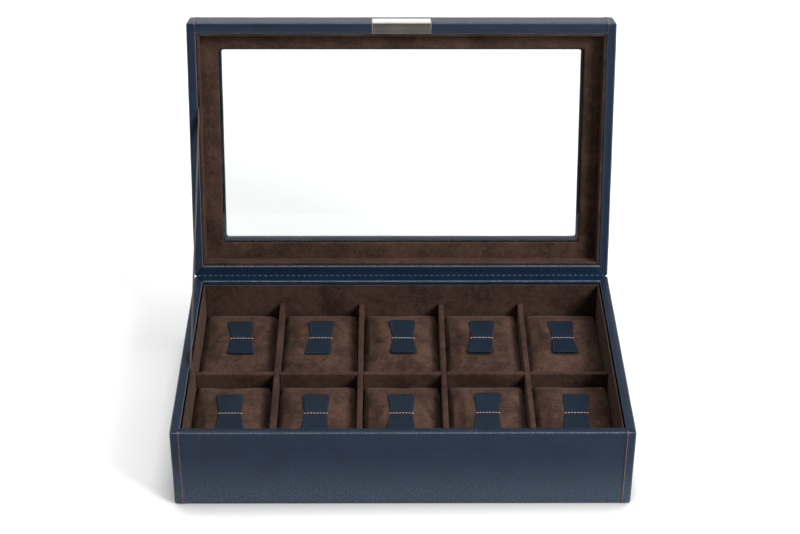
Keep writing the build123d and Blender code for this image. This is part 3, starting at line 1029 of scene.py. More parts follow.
class WATCHBOX_OT_lid_leather(bpy.types.Operator):
    """Leather over the lid's top, walls and rim, turned in through the window, with two front seams"""

    bl_idname = "watch_box.lid_leather"
    bl_label = "Lid leather"

    def execute(self, context):
        settings = context.scene.watch_box_leather
        walls = walls_of("lid", LID)
        roll, corner = settings.roll, settings.corner
        window_low, window_high = window_corners()
        collar = box_in("window_glass", LID)[0].z - 0.1 * MM
        shelf, shelf_top, shelf_under = 4 * MM, collar + 0.05 * MM, collar - 0.6 * MM

        def window_turn(distance, z, **look):
            low = (window_low[0] - distance, window_low[1] - distance)
            high = (window_high[0] + distance, window_high[1] + distance)
            return turn_of(low, high, z, 2 * MM + distance, **look)

        mouth = window_turn(0, roll, out=-1)
        brim = window_turn(roll, 0.0, up=-1, flat=True)
        turns = [window_turn(0, shelf_top, wave=0), window_turn(0, 3.5 * MM, out=-1)]
        turns += [window_turn(0, roll + 0.4 * MM, out=-1), mouth, *rolled(mouth, brim, "wall"), brim]
        inner = window_turn(roll + 0.5 * MM, 0.0, up=-1, flat=True)
        outer = turn_of(*inset(roll + 0.5 * MM, 0, walls), 0.0, corner, up=-1, flat=True)
        for share in spread(0, 1, 6):
            low, high = (mixed(inner[key], outer[key], share) for key in ("low", "high"))
            radius = inner["corner"] + (outer["corner"] - inner["corner"]) * share
            turns.append({**outer, "low": low, "high": high, "corner": radius})
        edge = turn_of(*inset(roll, 0, walls), 0.0, corner, up=-1, flat=True)
        wall = wall_turns(walls, LID_HEIGHT, settings, 0.6, 0)
        turns += [edge, *rolled(edge, wall[0], "rim")] + wall
        for distance, z in ((SKIN, SKIN), (SKIN, shelf_under), (shelf, shelf_under), (shelf, shelf_top)):
            turns.append(window_turn(distance, z, wave=0))
        leather_shell("lid", turns, LID, context)
        return {"FINISHED"}


# Stitches


def stitch_tree(name):
    """Geometry nodes that lay stitches along a line whose points say which way is up."""
    tree = bpy.data.node_groups.new(name, "GeometryNodeTree")
    sockets = {"Line": "Geometry", "Pitch": "Float", "Stitch length": "Float", "Thread": "Float"}
    sockets |= {"Slant": "Float", "Seed": "Int", "Material": "Material"}
    for label, kind in sockets.items():
        tree.interface.new_socket(label, in_out="INPUT", socket_type=f"NodeSocket{kind}")
    tree.interface.new_socket("Stitches", in_out="OUTPUT", socket_type="NodeSocketGeometry")
    given = add(tree, "NodeGroupInput").outputs
    line = add(tree, "GeometryNodeMeshToCurve", {"Mesh": given["Line"]})
    spaced = add(tree, "GeometryNodeResampleCurve", {"Curve": line, "Length": given["Pitch"]}, mode="LENGTH")
    up = add(tree, "GeometryNodeInputNamedAttribute", {"Name": "up"}, data_type="FLOAT_VECTOR")
    laid = add(
        tree,
        "FunctionNodeAxesToRotation",
        {"Primary Axis": add(tree, "GeometryNodeInputTangent"), "Secondary Axis": up},
        primary_axis="X",
        secondary_axis="Z",
    )
    # Each stitch lies at its own slight angle, with a fixed seed. Sockets 2 and 3 are the least and the most
    spin = {2: -0.09, 3: 0.09, "Seed": given["Seed"]}
    jitter = add(tree, "FunctionNodeRandomValue", spin, data_type="FLOAT").outputs[1]
    angle = add(tree, "ShaderNodeMath", {0: jitter, 1: given["Slant"]}, operation="ADD")
    turn = add(tree, "FunctionNodeAxisAngleToRotation", {"Axis": (0, 0, 1), "Angle": angle})
    slanted = add(
        tree, "FunctionNodeRotateRotation", {"Rotation": laid, "Rotate By": turn}, rotation_space="LOCAL"
    )
    # A stitch is a bean of thread, thick in the middle and sunk in at its ends
    bean = add(tree, "GeometryNodeMeshUVSphere", {"Segments": 6, "Rings": 6, "Radius": 0.5})
    thread = given["Thread"]
    size = add(tree, "ShaderNodeCombineXYZ", {0: given["Stitch length"], 1: thread, 2: thread})
    stitch = add(tree, "GeometryNodeTransform", {"Geometry": bean, "Scale": size})
    laid_out = {"Points": spaced, "Instance": stitch, "Rotation": slanted}
    sewn = add(tree, "GeometryNodeInstanceOnPoints", laid_out)
    real = add(tree, "GeometryNodeRealizeInstances", {"Geometry": sewn})
    smooth = add(tree, "GeometryNodeSetShadeSmooth", {"Geometry": real, "Shade Smooth": True})
    coloured = add(tree, "GeometryNodeSetMaterial", {"Geometry": smooth, "Material": given["Material"]})
    add(tree, "NodeGroupOutput", {"Stitches": coloured})
    return tree


def sewn_lines(name, lines, material, pitch, length, thread, slant, seed):
    """Stitches along several lines as one plain mesh. A line is a list of points, each with its way up."""
    tree = bpy.data.node_groups.get("laid_stitches") or stitch_tree("laid_stitches")
    points, edges, ups = [], [], []
    for line in lines:
        first = len(points)
        points += [tuple(p) for p, _ in line]
        ups += [x for _, up in line for x in up]
        edges += [(first + i, first + i + 1) for i in range(len(line) - 1)]
    mesh = bpy.data.meshes.new(name)
    mesh.from_pydata(points, edges, [])
    mesh.attributes.new("up", "FLOAT_VECTOR", "POINT").data.foreach_set("vector", ups)
    piece = bpy.data.objects.new(name, mesh)
    bpy.context.scene.collection.objects.link(piece)
    sewing = piece.modifiers.new("stitches", "NODES")
    sewing.node_group = tree
    values = {"Pitch": pitch, "Stitch length": length, "Thread": thread, "Slant": slant, "Seed": seed}
    values["Material"] = material
    for item in tree.interface.items_tree:
        if item.item_type == "SOCKET" and item.in_out == "INPUT" and item.name in values:
            sewing[item.identifier] = values[item.name]
    plain_mesh(piece)
    if not piece.data.polygons:
        raise RuntimeError(f"{name} came out without stitches")
    return piece


def seam_line(walls, height, settings, side):
    """A front corner seam, up the front wall, over the edge and across the rim, in the shell's own frame."""
    stitch_x = BASE_HIGH.x - settings.seam + 0.8 * MM
    inner_x = BASE_HIGH.x - walls[0] + 0.35 * MM
    front = BASE_LOW.y - SWELL[1]
    lift = 0.8 * settings.fold
    roll = settings.roll
    bend = roll + lift
    line = []
    for z in spread(1.6 * MM, height - roll, 40):
        line.append((Vector((side * stitch_x, front - lift, z)), Vector((0, -1, 0))))
    for angle in QUARTER:
        a = radians(angle)
        place = Vector((side * stitch_x, front + roll - bend * cos(a), height - roll + bend * sin(a)))
        line.append((place, Vector((0, -cos(a), sin(a)))))
    for share in spread(0, 1, 8):
        x = stitch_x + (inner_x - stitch_x) * share
        y = front + roll + (walls[1] - 1.6 * roll) * share
        line.append((Vector((side * x, y, height + lift)), UP))
    return line


def placed(line, matrix):
    turn = matrix.to_3x3()
    return [(matrix @ p, turn @ up) for p, up in line]


class WATCHBOX_OT_seam_stitches(bpy.types.Operator):
    """Orange-brown stitches along the front corner seams of the base and the lid"""

    bl_idname = "watch_box.seam_stitches"
    bl_label = "Seam stitches"

    def execute(self, context):
        thread = context.scene.watch_box_thread
        leather = context.scene.watch_box_leather
        material = thread_material("bonded_thread_tan", thread.seam_colour)
        sewing = (material, thread.seam_pitch, 1.35 * MM, thread.thickness * 1.15, 0.16, 3)
        for label, matrix, height in (("base", BASE, BASE_HIGH.z), ("lid", LID, LID_HEIGHT)):
            walls = walls_of(label, matrix)
            lines = [placed(seam_line(walls, height, leather, side), matrix) for side in (-1, 1)]
            piece = sewn_lines(f"{label}_seam_stitches", lines, *sewing)
            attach(piece, label)
        return {"FINISHED"}


# Hinge leather, drawn in the YZ plane

HINGE_AXIS = Vector((HINGE_POINT.y, HINGE_POINT.z))
HINGE_GAP = HINGE_POINT.z - BASE_HIGH.z
LID_WAY = Vector((-cos(OPEN_ANGLE), sin(OPEN_ANGLE)))
LID_FACE = Vector((-sin(OPEN_ANGLE), -cos(OPEN_ANGLE)))
HINGE_SKIN = 0.62 * MM


def on_base(distance, height):
    """A place over the base's back rim, by its distance in front of the hinge line and its height."""
    return Vector((HINGE_AXIS.x - distance, BASE_HIGH.z + height))


def on_lid(distance, height):
    """A place over the lid's back rim, by its distance from the hinge line and its height."""
    return HINGE_AXIS + LID_WAY * distance + LID_FACE * (height - HINGE_GAP)


def hinge_outline(back):
    """The strip's top and underside, from the base's back rim, through the fold, to the lid's back rim."""
    distances = [back - past for past in (0.1 * MM, 0.35 * MM, 0.75 * MM, 1.3 * MM, 2.0 * MM)]
    distances += spread(back - 2.9 * MM, 2.3 * MM, 5)
    heights = [HINGE_SKIN * share for share in (0.3, 0.58, 0.8, 0.93, 0.99, 1, 0.98, 0.95, 0.93, 0.9)]

    def on_rim(place):
        top = [place(back + 0.02 * MM, -0.2 * MM)] + [place(d, h) for d, h in zip(distances, heights)]
        under = [place(back - 0.1 * MM, -0.5 * MM)] + [place(d, -0.05 * MM) for d in distances]
        return top, under

    top, under = on_rim(on_base)
    # The fold: the leather dips between the rims in a small round valley
    fold_start, fold_end = (place(2.0 * MM, 0.88 * HINGE_SKIN) for place in (on_base, on_lid))
    bottom = HINGE_AXIS + (LID_FACE + Vector((0, -1))) * (HINGE_GAP - HINGE_SKIN + 0.12 * MM)
    for share in spread(0, 1, 9):
        a = share * OPEN_ANGLE
        valley = fold_start * (1 - share) ** 2 + fold_end * share**2
        top.append(valley + 2 * share * (1 - share) * bottom)
        under.append(HINGE_AXIS + Vector((sin(a), -cos(a))) * HINGE_GAP)
    lid_top, lid_under = on_rim(on_lid)
    return top + lid_top[::-1], under + lid_under[::-1]


class WATCHBOX_OT_hinge_leather(bpy.types.Operator):
    """One strip of leather over both back rims and down into the fold between them, with its row of stitches"""

    bl_idname = "watch_box.hinge_leather"
    bl_label = "Hinge leather"

    def execute(self, context):
        thread = context.scene.watch_box_thread
        side, _, back = walls_of("base", BASE)
        top, under = hinge_outline(back)
        count, columns = len(top), 97
        strip_half = BASE_HIGH.x - 0.6 * MM
        mitre = side - 0.5 * MM
        travel = [0.0]
        for a, b in zip(top, top[1:]):
            travel.append(travel[-1] + (b - a).length)
        points, places, wear = [], [], []
        for layer in (top, under):
            for i, place in enumerate(layer):
                half = strip_half - mitre * min(1.0, (place - HINGE_AXIS).length / back)
                for x in spread(-half, half, columns):
                    points.append(Vector((x, place.x, place.y)))
                    places.append((x, travel[i]))
                # Painted highlights along the rims' edges, where the leather is glued down over them, in the
                # worn_and_sheen colour
                wear += [0.8 if min(i, count - 1 - i) in (1, 2, 3) else 0.0] * columns
        faces = sheet_faces(count, columns)
        surface = [tuple(places[k] for k in face) for face in faces]
        strip = new_piece("hinge_leather", points, faces, BASE, hinge_navy(context), surface, wear)
        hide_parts("hinge_leaf_base", "hinge_leaf_lid")
        start, end = ((0, *place(1.9 * MM, HINGE_GAP)) for place in (on_base, on_lid))
        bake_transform(strip)
        lowest = Vector((0, *top[count // 2]))
        up = Vector((0, *(LID_FACE + Vector((0, 1))).normalized()))
        half = strip_half - 2.5 * MM
        line = [(lowest + Vector((x, 0, 0)) + up * 0.1 * MM, up) for x in spread(-half, half, 60)]
        # The hinge thread is navy; its pale blue-grey colour is a painted highlight on each stitch
        material = thread_material("bonded_thread_blue_grey", thread.hinge_colour)
        sewing = (material, thread.hinge_pitch, 1.3 * MM, 0.5 * MM, 0.1, 11)
        stitches = sewn_lines("hinge_stitches", [line], *sewing)
        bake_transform(stitches)
        return {"FINISHED"}


# Linings, dividers and window frame


def ribbon_ends():
    """The ribbon's middle across the wall, its lower and upper end, and the way from one to the other."""
    nodes = np.array([v.co for v in frame["nodes"]["lid_stay_ribbon"].data.vertices])
    x = float(nodes[:, 0].min() + nodes[:, 0].max()) / 2
    flat = nodes[:, 1:]
    middle = (flat.min(0) + flat.max(0)) / 2
    way = np.linalg.svd(flat - middle, full_matrices=False)[2][0]
    way = Vector(way if way[1] > 0 else -way)
    reach = max(Vector(p).dot(way) for p in flat - middle)
    return x, Vector(middle) - way * reach, Vector(middle) + way * reach, way


def cut_pocket(board):
    """Cuts the slot for the ribbon's tail into the face of a left lining that touches the wall."""
    x, low, high, way = ribbon_ends()
    across = Vector((-way.y, way.x)) * 4.2 * MM
    corners = [low - across, high - across, high + across, low + across]
    points = [(side, p.x, p.y) for side in (x - 2 * MM, x + 0.5 * MM) for p in corners]
    faces = [(0, 1, 2, 3), (7, 6, 5, 4), (0, 4, 5, 1), (1, 5, 6, 2), (2, 6, 7, 3), (3, 7, 4, 0)]
    cutter = new_piece("pocket_cutter", points, faces, BASE, board.data.materials[0])
    cut = board.modifiers.new("pocket", "BOOLEAN")
    cut.operation = "DIFFERENCE"
    cut.object = cutter
    cut.solver = "EXACT"
    plain_mesh(board)
    bpy.data.objects.remove(cutter)


# The axis across each wall, and the way from the wall into the box
LINING_SIDES = {"front": (1, 1), "back": (1, -1), "left": (0, 1), "right": (0, -1)}
# The dark crack that is left between each lining of the base and the leather of its wall
CRACK = 0.8 * MM


class WATCHBOX_OT_linings(bpy.types.Operator):
    """Suede-covered boards inside the walls of the base and the lid"""

    bl_idname = "watch_box.linings"
    bl_label = "Linings"

    def execute(self, context):
        edge = context.scene.watch_box_suede.edge
        # The lid's linings take the dividers' darker suede: painted shade inside the lid
        for label, matrix, kind in (("base", BASE, "board"), ("lid", LID, "divider")):
            suede = suede_on(kind, context)
            for name, (axis, away) in LINING_SIDES.items():
                node = f"{label}_lining_{name}"
                low, high = box_in(node, matrix)
                if label == "base":
                    (low if away > 0 else high)[axis] += away * CRACK
                    high.z -= CRACK
                suede_board(node, low, high, matrix, label, edge, suede, pocketed=name == "left")
        return {"FINISHED"}


class WATCHBOX_OT_dividers(bpy.types.Operator):
    """Suede-covered dividers: one long one between the rows, and four that cross it"""

    bl_idname = "watch_box.dividers"
    bl_label = "Dividers"

    def execute(self, context):
        edge, play, narrower = 0.95 * MM, 0.02 * MM, 0.5 * MM
        suede = suede_on("divider", context)
        low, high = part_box("long_divider")
        crossings = [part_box(f"cross_divider_{number}") for number in range(1, 5)]
        stops = [low.x] + [x for a, b in crossings for x in (a.x - play, b.x + play)] + [high.x]
        blocks = [((a, low.y, low.z), (b, high.y, high.z)) for a, b in zip(stops[::2], stops[1::2])]
        # Below the crossings the long divider goes through in one piece
        through = low.z + 0.4 * (high.z - low.z)
        blocks.append(((low.x, low.y + narrower, low.z), (high.x, high.y - narrower, through)))
        points, faces = [], []
        for first, last in blocks:
            block, block_faces = rounded_board(first, last, edge)
            faces += [tuple(k + len(points) for k in face) for face in block_faces]
            points += block
        piece = new_piece("long_divider_suede", points, faces, BASE, suede)
        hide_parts("long_divider")
        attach(piece, "base")
        for number, (low, high) in enumerate(crossings, 1):
            suede_board(f"cross_divider_{number}", low, high, BASE, "base", edge, suede)
        return {"FINISHED"}


class WATCHBOX_OT_window_frame(bpy.types.Operator):
    """Padded suede frame that holds the glass inside the lid"""

    bl_idname = "watch_box.window_frame"
    bl_label = "Window frame"

    def execute(self, context):
        settings = context.scene.watch_box_suede
        low, high = box_in("window_retainer", LID)
        (x0, y0), (x1, y1) = window_corners()
        beside, before, behind = 2.0 * MM, 1.6 * MM, 3.2 * MM
        edge = 0.9 * MM

        def turn(share, distance, z):
            """A turn between the frame's opening, made wider by a distance, and its outside."""
            inner_low = (x0 - beside - distance, y0 - before - distance)
            inner_high = (x1 + beside + distance, y1 + behind + distance)
            corner = (2 * MM + distance) * (1 - share) + 0.3 * MM * share
            first, last = mixed(inner_low, low.xy, share), mixed(inner_high, high.xy, share)
            return turn_of(first, last, z, corner, wave=0)

        top = high.z
        turns = [turn(1, 0, low.z), turn(1, 0, top)]
        for share in (0.85, 0.6, 0.4, 0.2, 0.08):
            turns.append(turn(share, edge, top + settings.crown * sin(pi * share)))
        turns.append(turn(0, edge, top))
        for angle in QUARTER:
            a = radians(angle)
            turns.append(turn(0, edge * (1 - sin(a)), top - edge * (1 - cos(a))))
        turns += [turn(0, 0, top - edge), turn(0, 0, low.z)]
        rows = [turn_points(each, context.scene.watch_box_leather) for each in turns]
        points = [p for row in rows for p in row]
        faces = ring_faces(len(rows), len(rows[0]), closed=True)
        piece = new_piece("window_frame_suede", points, faces, LID, suede_on("board", context))
        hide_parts("window_retainer")
        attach(piece, "lid")
        return {"FINISHED"}


# Clasp plate


def plate_outline(low, high):
    """Places round the bent plate from the side, each with how far its bevel goes back and down.

    The places of the outside come first, and their number is returned as well.
    """
    thick, bend = 0.8 * MM, 0.9 * MM
    outline = [(low.y, z, 1, 0) for z in (low.z, high.z - bend - 6 * MM, high.z - bend)]
    for angle in (15, 30, 45, 60, 75):
        a = radians(angle)
        outline.append((low.y + bend * (1 - cos(a)), high.z - bend * (1 - sin(a)), 0.7, 0.7))
    outline += [(y, high.z, 0, 1) for y in (low.y + bend, low.y + bend + 3 * MM, high.y)]
    inside = ((high.y, high.z - thick), (low.y + thick, high.z - thick), (low.y + thick, low.z))
    return outline + [(y, z, 0, 0) for y, z in inside], len(outline)


class WATCHBOX_OT_clasp_plate(bpy.types.Operator):
    """Bent nickel plate over the middle of the lid's front rim, with bevelled edges"""

    bl_idname = "watch_box.clasp_plate"
    bl_label = "Clasp plate"

    def execute(self, context):
        settings = context.scene.watch_box_metal
        low, high = box_in("clasp_plate", LID)
        outline, outer = plate_outline(low, high)
        half, bevel, margin = high.x, settings.bevel, 1.2 * MM
        # Across the plate: its end face, a bevel, then the full outline
        columns = [(-half, bevel), (-half + bevel, 0.0)]
        columns += [(x, 0.0) for x in spread(-half + margin, half - margin, 9)]
        columns += [(half - bevel, 0.0), (half, bevel)]
        points = []
        for x, sunk in columns:
            points += [Vector((x, y + sunk * back, z - sunk * down)) for y, z, back, down in outline]
        count = len(outline)
        faces = ring_faces(len(columns), count)
        # The end faces follow the bend: each strip joins the outside to the inside
        last, corner = (len(columns) - 1) * count, count - 2
        strips = [(k, k + 1, corner) for k in range(1, outer - 2)]
        strips += [(0, 1, corner, count - 1), (outer - 2, outer - 1, count - 3, corner)]
        for strip in strips:
            faces += [strip, tuple(last + k for k in reversed(strip))]
        material = nickel_material("satin_nickel_plate", settings.colour, (0.14, 0.24), 0.25 * MM)
        piece = new_piece("clasp_plate_nickel", points, faces, LID, material)
        sharp_angle = radians(32)
        tidy = bmesh.new()
        tidy.from_mesh(piece.data)
        bmesh.ops.recalc_face_normals(tidy, faces=tidy.faces)
        for edge in tidy.edges:
            if len(edge.link_faces) == 2 and edge.calc_face_angle() > sharp_angle:
                edge.smooth = False
        tidy.to_mesh(piece.data)
        tidy.free()
        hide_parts("clasp_plate")
        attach(piece, "lid")
        return {"FINISHED"}


# Ribbon

# The ribbon's cross-section, as shares of half its width and half its thickness
RIBBON_SECTION = (
    *((-1, 0), (-0.94, 0.8), (-0.5, 1), (0, 1), (0.5, 1), (0.94, 0.8)),
    *((1, 0), (0.94, -0.8), (0.5, -1), (0, -1), (-0.5, -1), (-0.94, -0.8)),
)


class WATCHBOX_OT_ribbon(bpy.types.Operator):
    """Woven ribbon from the left rim of the base to the left rim of the lid, with looped edges"""

    bl_idname = "watch_box.ribbon"
    bl_label = "Lid stay ribbon"

    def execute(self, context):
        settings = context.scene.watch_box_ribbon
        x, low, high, way = ribbon_ends()
        across = Vector((-way.y, way.x))
        half_width, half_thick = 3.55 * MM, 0.36 * MM
        length, tail = (high - low).length, 12 * MM
        rings, count = 151, len(RIBBON_SECTION)
        points, places = [], []
        for travel in spread(0, length, rings):
            centre = low + way * travel
            # The tape curls by a hair along its run
            curl = 0.048 * MM * sin(2 * pi * travel / (46 * MM))
            for wide, thick in RIBBON_SECTION:
                place = centre + across * (wide * half_width)
                points.append(Vector((x + thick * half_thick + curl * wide, place.x, place.y)))
                places.append((travel, wide * half_width))
        faces = ring_faces(rings, count)
        faces += [tuple(reversed(range(count))), tuple(range((rings - 1) * count, rings * count))]
        surface = [tuple(places[k] for k in face) for face in faces]
        ribbon = new_piece("lid_ribbon", points, faces, BASE, ribbon_material(settings), surface)
        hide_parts("lid_stay_ribbon")
        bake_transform(ribbon)
        lines = []
        for side in (-1, 1):
            line = []
            for travel in spread(0.7 * tail, length - 0.7 * tail, 80):
                place = low + way * travel + across * (side * half_width)
                line.append((Vector((x, *place)), Vector((1, 0, 0))))
            lines.append(line)
        material = thread_material("picot_thread_beige", settings.picot_colour)
        sewing = (material, settings.picot_pitch, 0.75 * MM, 0.42 * MM, 0.3, 5)
        loops = sewn_lines("lid_ribbon_loops", lines, *sewing)
        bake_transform(loops)
        return {"FINISHED"}


# Cushions and tabs

# How high the far and near ends of each tab stand over the crown, and how far the far end, the waist and the
# near end lie from the cushion's middle, in millimetres, left to right and back row first
TAB_POSES = (
    ((0.4, 1.8), (-0.6, 1.7, 2.7)),
    ((1.2, 1.2), (0.1, 0.2, -1.6)),
    ((2.0, 2.2), (0.6, 1.2, 1.9)),
    ((1.1, 2.2), (0.5, -0.6, -2.8)),
    ((0.4, 2.2), (-0.6, -0.6, 0.1)),
    ((0.4, 2.2), (-2.2, -0.2, 0.8)),
    ((0.8, 1.1), (-0.9, -0.5, -0.3)),
    ((0.9, 2.2), (-0.6, -0.6, -1.1)),
    ((2.0, 1.0), (1.0, -0.1, -1.5)),
    ((0.8, 1.5), (3.6, 1.8, 0.4)),
)
# Frames that the covers are blown up for
FRAMES = 20


def cushion_start(number, settings, suede):
    """A block a little smaller than the CAD cushion, with soft edges and an even mesh."""
    low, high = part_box(f"cushion_{number:02d}")
    middle = (low + high) / 2
    half = (high - low) / 2 * settings.start
    first = (middle.x - half.x, middle.y - half.y, low.z)
    last = (middle.x + half.x, middle.y + half.y, high.z - 2.1 * MM)
    points, faces = rounded_board(first, last, settings.edge, 5 * MM)
    piece = new_piece(f"cushion_{number:02d}_padded", points, faces, BASE, suede)
    even = piece.modifiers.new("even", "REMESH")
    even.mode = "VOXEL"
    even.voxel_size = settings.voxel
    plain_mesh(piece)
    return piece


def hold(piece, low):
    """Pins the underside, so that the cushion keeps its flat bed."""
    held = piece.vertex_groups.new(name="held")
    held.add([v.index for v in piece.data.vertices if v.co.z < low.z + 1.0 * MM], 1.0, "REPLACE")


def blow_up(pieces, settings):
    """Cloth simulation of all the covers at once: pressure from inside, no gravity."""
    for number, piece in enumerate(pieces):
        cloth = piece.modifiers.new("cover", "CLOTH")
        cloth.settings.mass = 0.3
        cloth.settings.tension_stiffness = 12 + 1.5 * (number % 4)
        cloth.settings.compression_stiffness = 8
        cloth.settings.bending_stiffness = 0.4
        cloth.settings.use_pressure = True
        cloth.settings.uniform_pressure_force = settings.pressure
        cloth.settings.effector_weights.gravity = 0
        cloth.settings.vertex_group_mass = "held"
        cloth.point_cache.frame_start = 1
        cloth.point_cache.frame_end = FRAMES
    for number in range(1, FRAMES + 1):
        bpy.context.scene.frame_set(number)
    for piece in pieces:
        rest = [vertex.co.copy() for vertex in piece.data.vertices]
        plain_mesh(piece)
        for vertex, before in zip(piece.data.vertices, rest):
            moved = vertex.co - before
            if moved.length > settings.cap:
                vertex.co = before + moved.normalized() * settings.cap
    bpy.context.scene.frame_set(1)


def settle(piece, number, low, high, settings):
    """Draws the crown in under the tab's stitches, keeps the cushion in its compartment and smooths it."""
    middle = (low + high) / 2
    waist = TAB_POSES[number - 1][1][1] * MM
    bulge_x, bulge_y, bulge_z = 0.35 * MM, 0.45 * MM, 0.3 * MM
    lumps = 0.28 * MM
    phase = 1.7 * number
    fine = piece.modifiers.new("fine", "SUBSURF")
    fine.levels = fine.render_levels = 1
    plain_mesh(piece)
    for vertex in piece.data.vertices:
        p = vertex.co
        x, y = p.x - middle.x, p.y - middle.y
        top = max(0.0, (p.z - middle.z) / (high.z - middle.z))
        # The stitches lie along the tab's waist, up to 7 mm to each side of its middle
        reach = max(0.0, abs(x - waist) - 7 * MM)
        dimple = exp(-((reach / (5 * MM)) ** 2) - (y / (3.2 * MM)) ** 2)
        basin = exp(-((reach / (12 * MM)) ** 2) - (y / (10 * MM)) ** 2)
        p.z -= top**2 * settings.pull * (0.65 * dimple + 0.45 * basin)
        across, along = abs(x) / (high.x - middle.x), abs(y) / (high.y - middle.y)
        fall = min(1.0, along) ** 4 + 0.15 * min(1.0, across) ** 10
        p.z -= top**2 * settings.crown * fall
        uneven = sin(95 * x + phase) * cos(70 * y + 2 * phase) + 0.5 * sin(160 * y + 130 * x + phase)
        p.z += top**2 * lumps * uneven
        p.x = min(max(p.x, low.x - bulge_x), high.x + bulge_x)
        p.y = min(max(p.y, low.y - bulge_y), high.y + bulge_y)
        p.z = min(max(p.z, low.z), high.z + bulge_z)
    piece.data.polygons.foreach_set("use_smooth", [True] * len(piece.data.polygons))
    piece.data.update()


class WATCHBOX_OT_cushions(bpy.types.Operator):
    """Ten suede cushions, blown up by a cloth simulation and drawn in under their tabs"""

    bl_idname = "watch_box.cushions"
    bl_label = "Cushions"

    def execute(self, context):
        settings = context.scene.watch_box_cushion
        suede = suede_on("cushion", context)
        pieces = [cushion_start(number, settings, suede) for number in range(1, 11)]
        boxes = [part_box(f"cushion_{number:02d}") for number in range(1, 11)]
        for piece, (low, _) in zip(pieces, boxes):
            hold(piece, low)
        blow_up(pieces, settings)
        for number, (piece, (low, high)) in enumerate(zip(pieces, boxes), 1):
            settle(piece, number, low, high, settings)
            piece.data.materials.clear()
            piece.data.materials.append(suede)
            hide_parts(f"cushion_{number:02d}")
            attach(piece, f"cushion_{number:02d}")
        return {"FINISHED"}


# Places between a tab's rounded end and its waist, close together at the waist, as shares of half its length
TAB_SHARES = (0.84, 0.72, 0.58, 0.44, 0.3, 0.18, 0.1, 0.05, 0.02)
# Places across a tab, as shares of half its width
TAB_WIDTHS = (-1, -0.985, -0.94, -0.8, -0.55, -0.28, 0, 0.28, 0.55, 0.8, 0.94, 0.985, 1)


def tab_shares(settings):
    """Places along a tab from its far end, 1, to its near end, -1."""
    rounded = settings.corner / (settings.length / 2)
    half = [1 - rounded * (1 - sin(a)) for a in spread(pi / 2, 0, 6)]
    half += TAB_SHARES
    return half + [0.0] + [-share for share in reversed(half)]


def half_width_at(share, settings):
    """Half the tab's width at a place from its waist, 0, to an end, 1."""
    waist, end = settings.waist / 2, settings.end / 2
    half_length, corner = settings.length / 2, settings.corner
    # Soft at the waist, straight towards the ends, and rounded at the corners
    width = waist + (end - waist) * share + 0.25 * MM * exp(-((share / 0.1) ** 2))
    past = max(0.0, share * half_length - (half_length - corner))
    return width - (corner - max(0.0, corner**2 - past**2) ** 0.5)


def tab_points(number, shares, settings):
    """Points of a tab's top and of its underside, row by row, as it lies over its cushion's crown."""
    cushion = bpy.data.objects[f"cushion_{number:02d}_padded"].data
    tree = BVHTree.FromPolygons([v.co for v in cushion.vertices], [p.vertices for p in cushion.polygons])
    low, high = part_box(f"cushion_{number:02d}")
    middle = (low + high) / 2
    (far_lift, near_lift), (far_shift, waist_shift, near_shift) = TAB_POSES[number - 1]

    def crown(x, y):
        return tree.ray_cast(Vector((x, y, high.z + 10 * MM)), Vector((0, 0, -1)))[0].z

    ground = crown(middle.x + waist_shift * MM, middle.y)
    top, under = [], []
    for share in shares:
        span = abs(share)
        lift, shift = (far_lift, far_shift) if share > 0 else (near_lift, near_shift)
        centre = middle.x + (waist_shift + (shift - waist_shift) * span) * MM
        y = middle.y + share * settings.length / 2
        half = half_width_at(span, settings)
        # The stitches hold the waist down; the halves rise straight from it
        bed = max(crown(centre + side * half * 0.8, y) for side in (-1, 0, 1))
        rise = ground + (lift + 0.1) * MM * span**1.3
        level = max(bed, rise) + 0.05 * MM
        pinch = 0.45 * MM * exp(-((span / 0.05) ** 2))
        end_fall = 0.5 * MM * max(0.0, (span - 0.965) / 0.035) ** 2
        for width in TAB_WIDTHS:
            side_fall = 0.42 * MM * max(0.0, (abs(width) - 0.93) / 0.07) ** 2
            fall = min(0.6 * MM, side_fall + end_fall)
            # A tab droops a little to its sides
            droop = 0.18 * MM * width**2 * span
            x = centre + width * half
            top.append(Vector((x, y, level + settings.thickness - pinch - fall - droop)))
            under.append(Vector((x, y, level - 0.3 * pinch + 0.3 * fall - droop)))
    return top, under


class WATCHBOX_OT_tabs(bpy.types.Operator):
    """Ten bow-tie pull tabs of navy leather, each lifted at its ends and sewn down across its waist"""

    bl_idname = "watch_box.tabs"
    bl_label = "Pull tabs"

    def execute(self, context):
        material = thread_material("bonded_thread_rose", context.scene.watch_box_thread.tab_colour)
        for number in range(1, 11):
            self.make_tab(context, number, material)
        return {"FINISHED"}

    def make_tab(self, context, number, material):
        settings = context.scene.watch_box_tab
        thread = context.scene.watch_box_thread
        shares = tab_shares(settings)
        top, under = tab_points(number, shares, settings)
        points = top + under
        columns = len(TAB_WIDTHS)
        faces = sheet_faces(len(shares), columns)
        surface = [tuple((points[k].x, points[k].y) for k in face) for face in faces]
        # The cut edges are a little paler
        cut = [abs(share) > 0.985 or abs(width) > 0.93 for share in shares for width in TAB_WIDTHS]
        wear = [0.07 if on_edge else 0.0 for on_edge in cut * 2]
        name = f"pull_tab_{number:02d}"
        tab = new_piece(f"{name}_leather", points, faces, BASE, tab_navy(context), surface, wear)
        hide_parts(name)
        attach(tab, f"cushion_{number:02d}")
        waist = shares.index(0.0) * columns
        line = [(p + UP * 0.12 * MM, UP) for p in top[waist + 1 : waist + columns - 1]]
        sewing = (material, thread.tab_pitch, 1.7 * MM, thread.thickness * 1.2, 0.12, 20 + number)
        stitches = sewn_lines(f"{name}_stitches", [line], *sewing)
        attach(stitches, f"cushion_{number:02d}")


# CAD nodes whose shape is right as it is


def paint(node, material):
    """Gives a CAD node its material."""
    slots = frame["nodes"][node].material_slots
    if slots:
        slots[0].material = material
    else:
        frame["nodes"][node].data.materials.append(material)


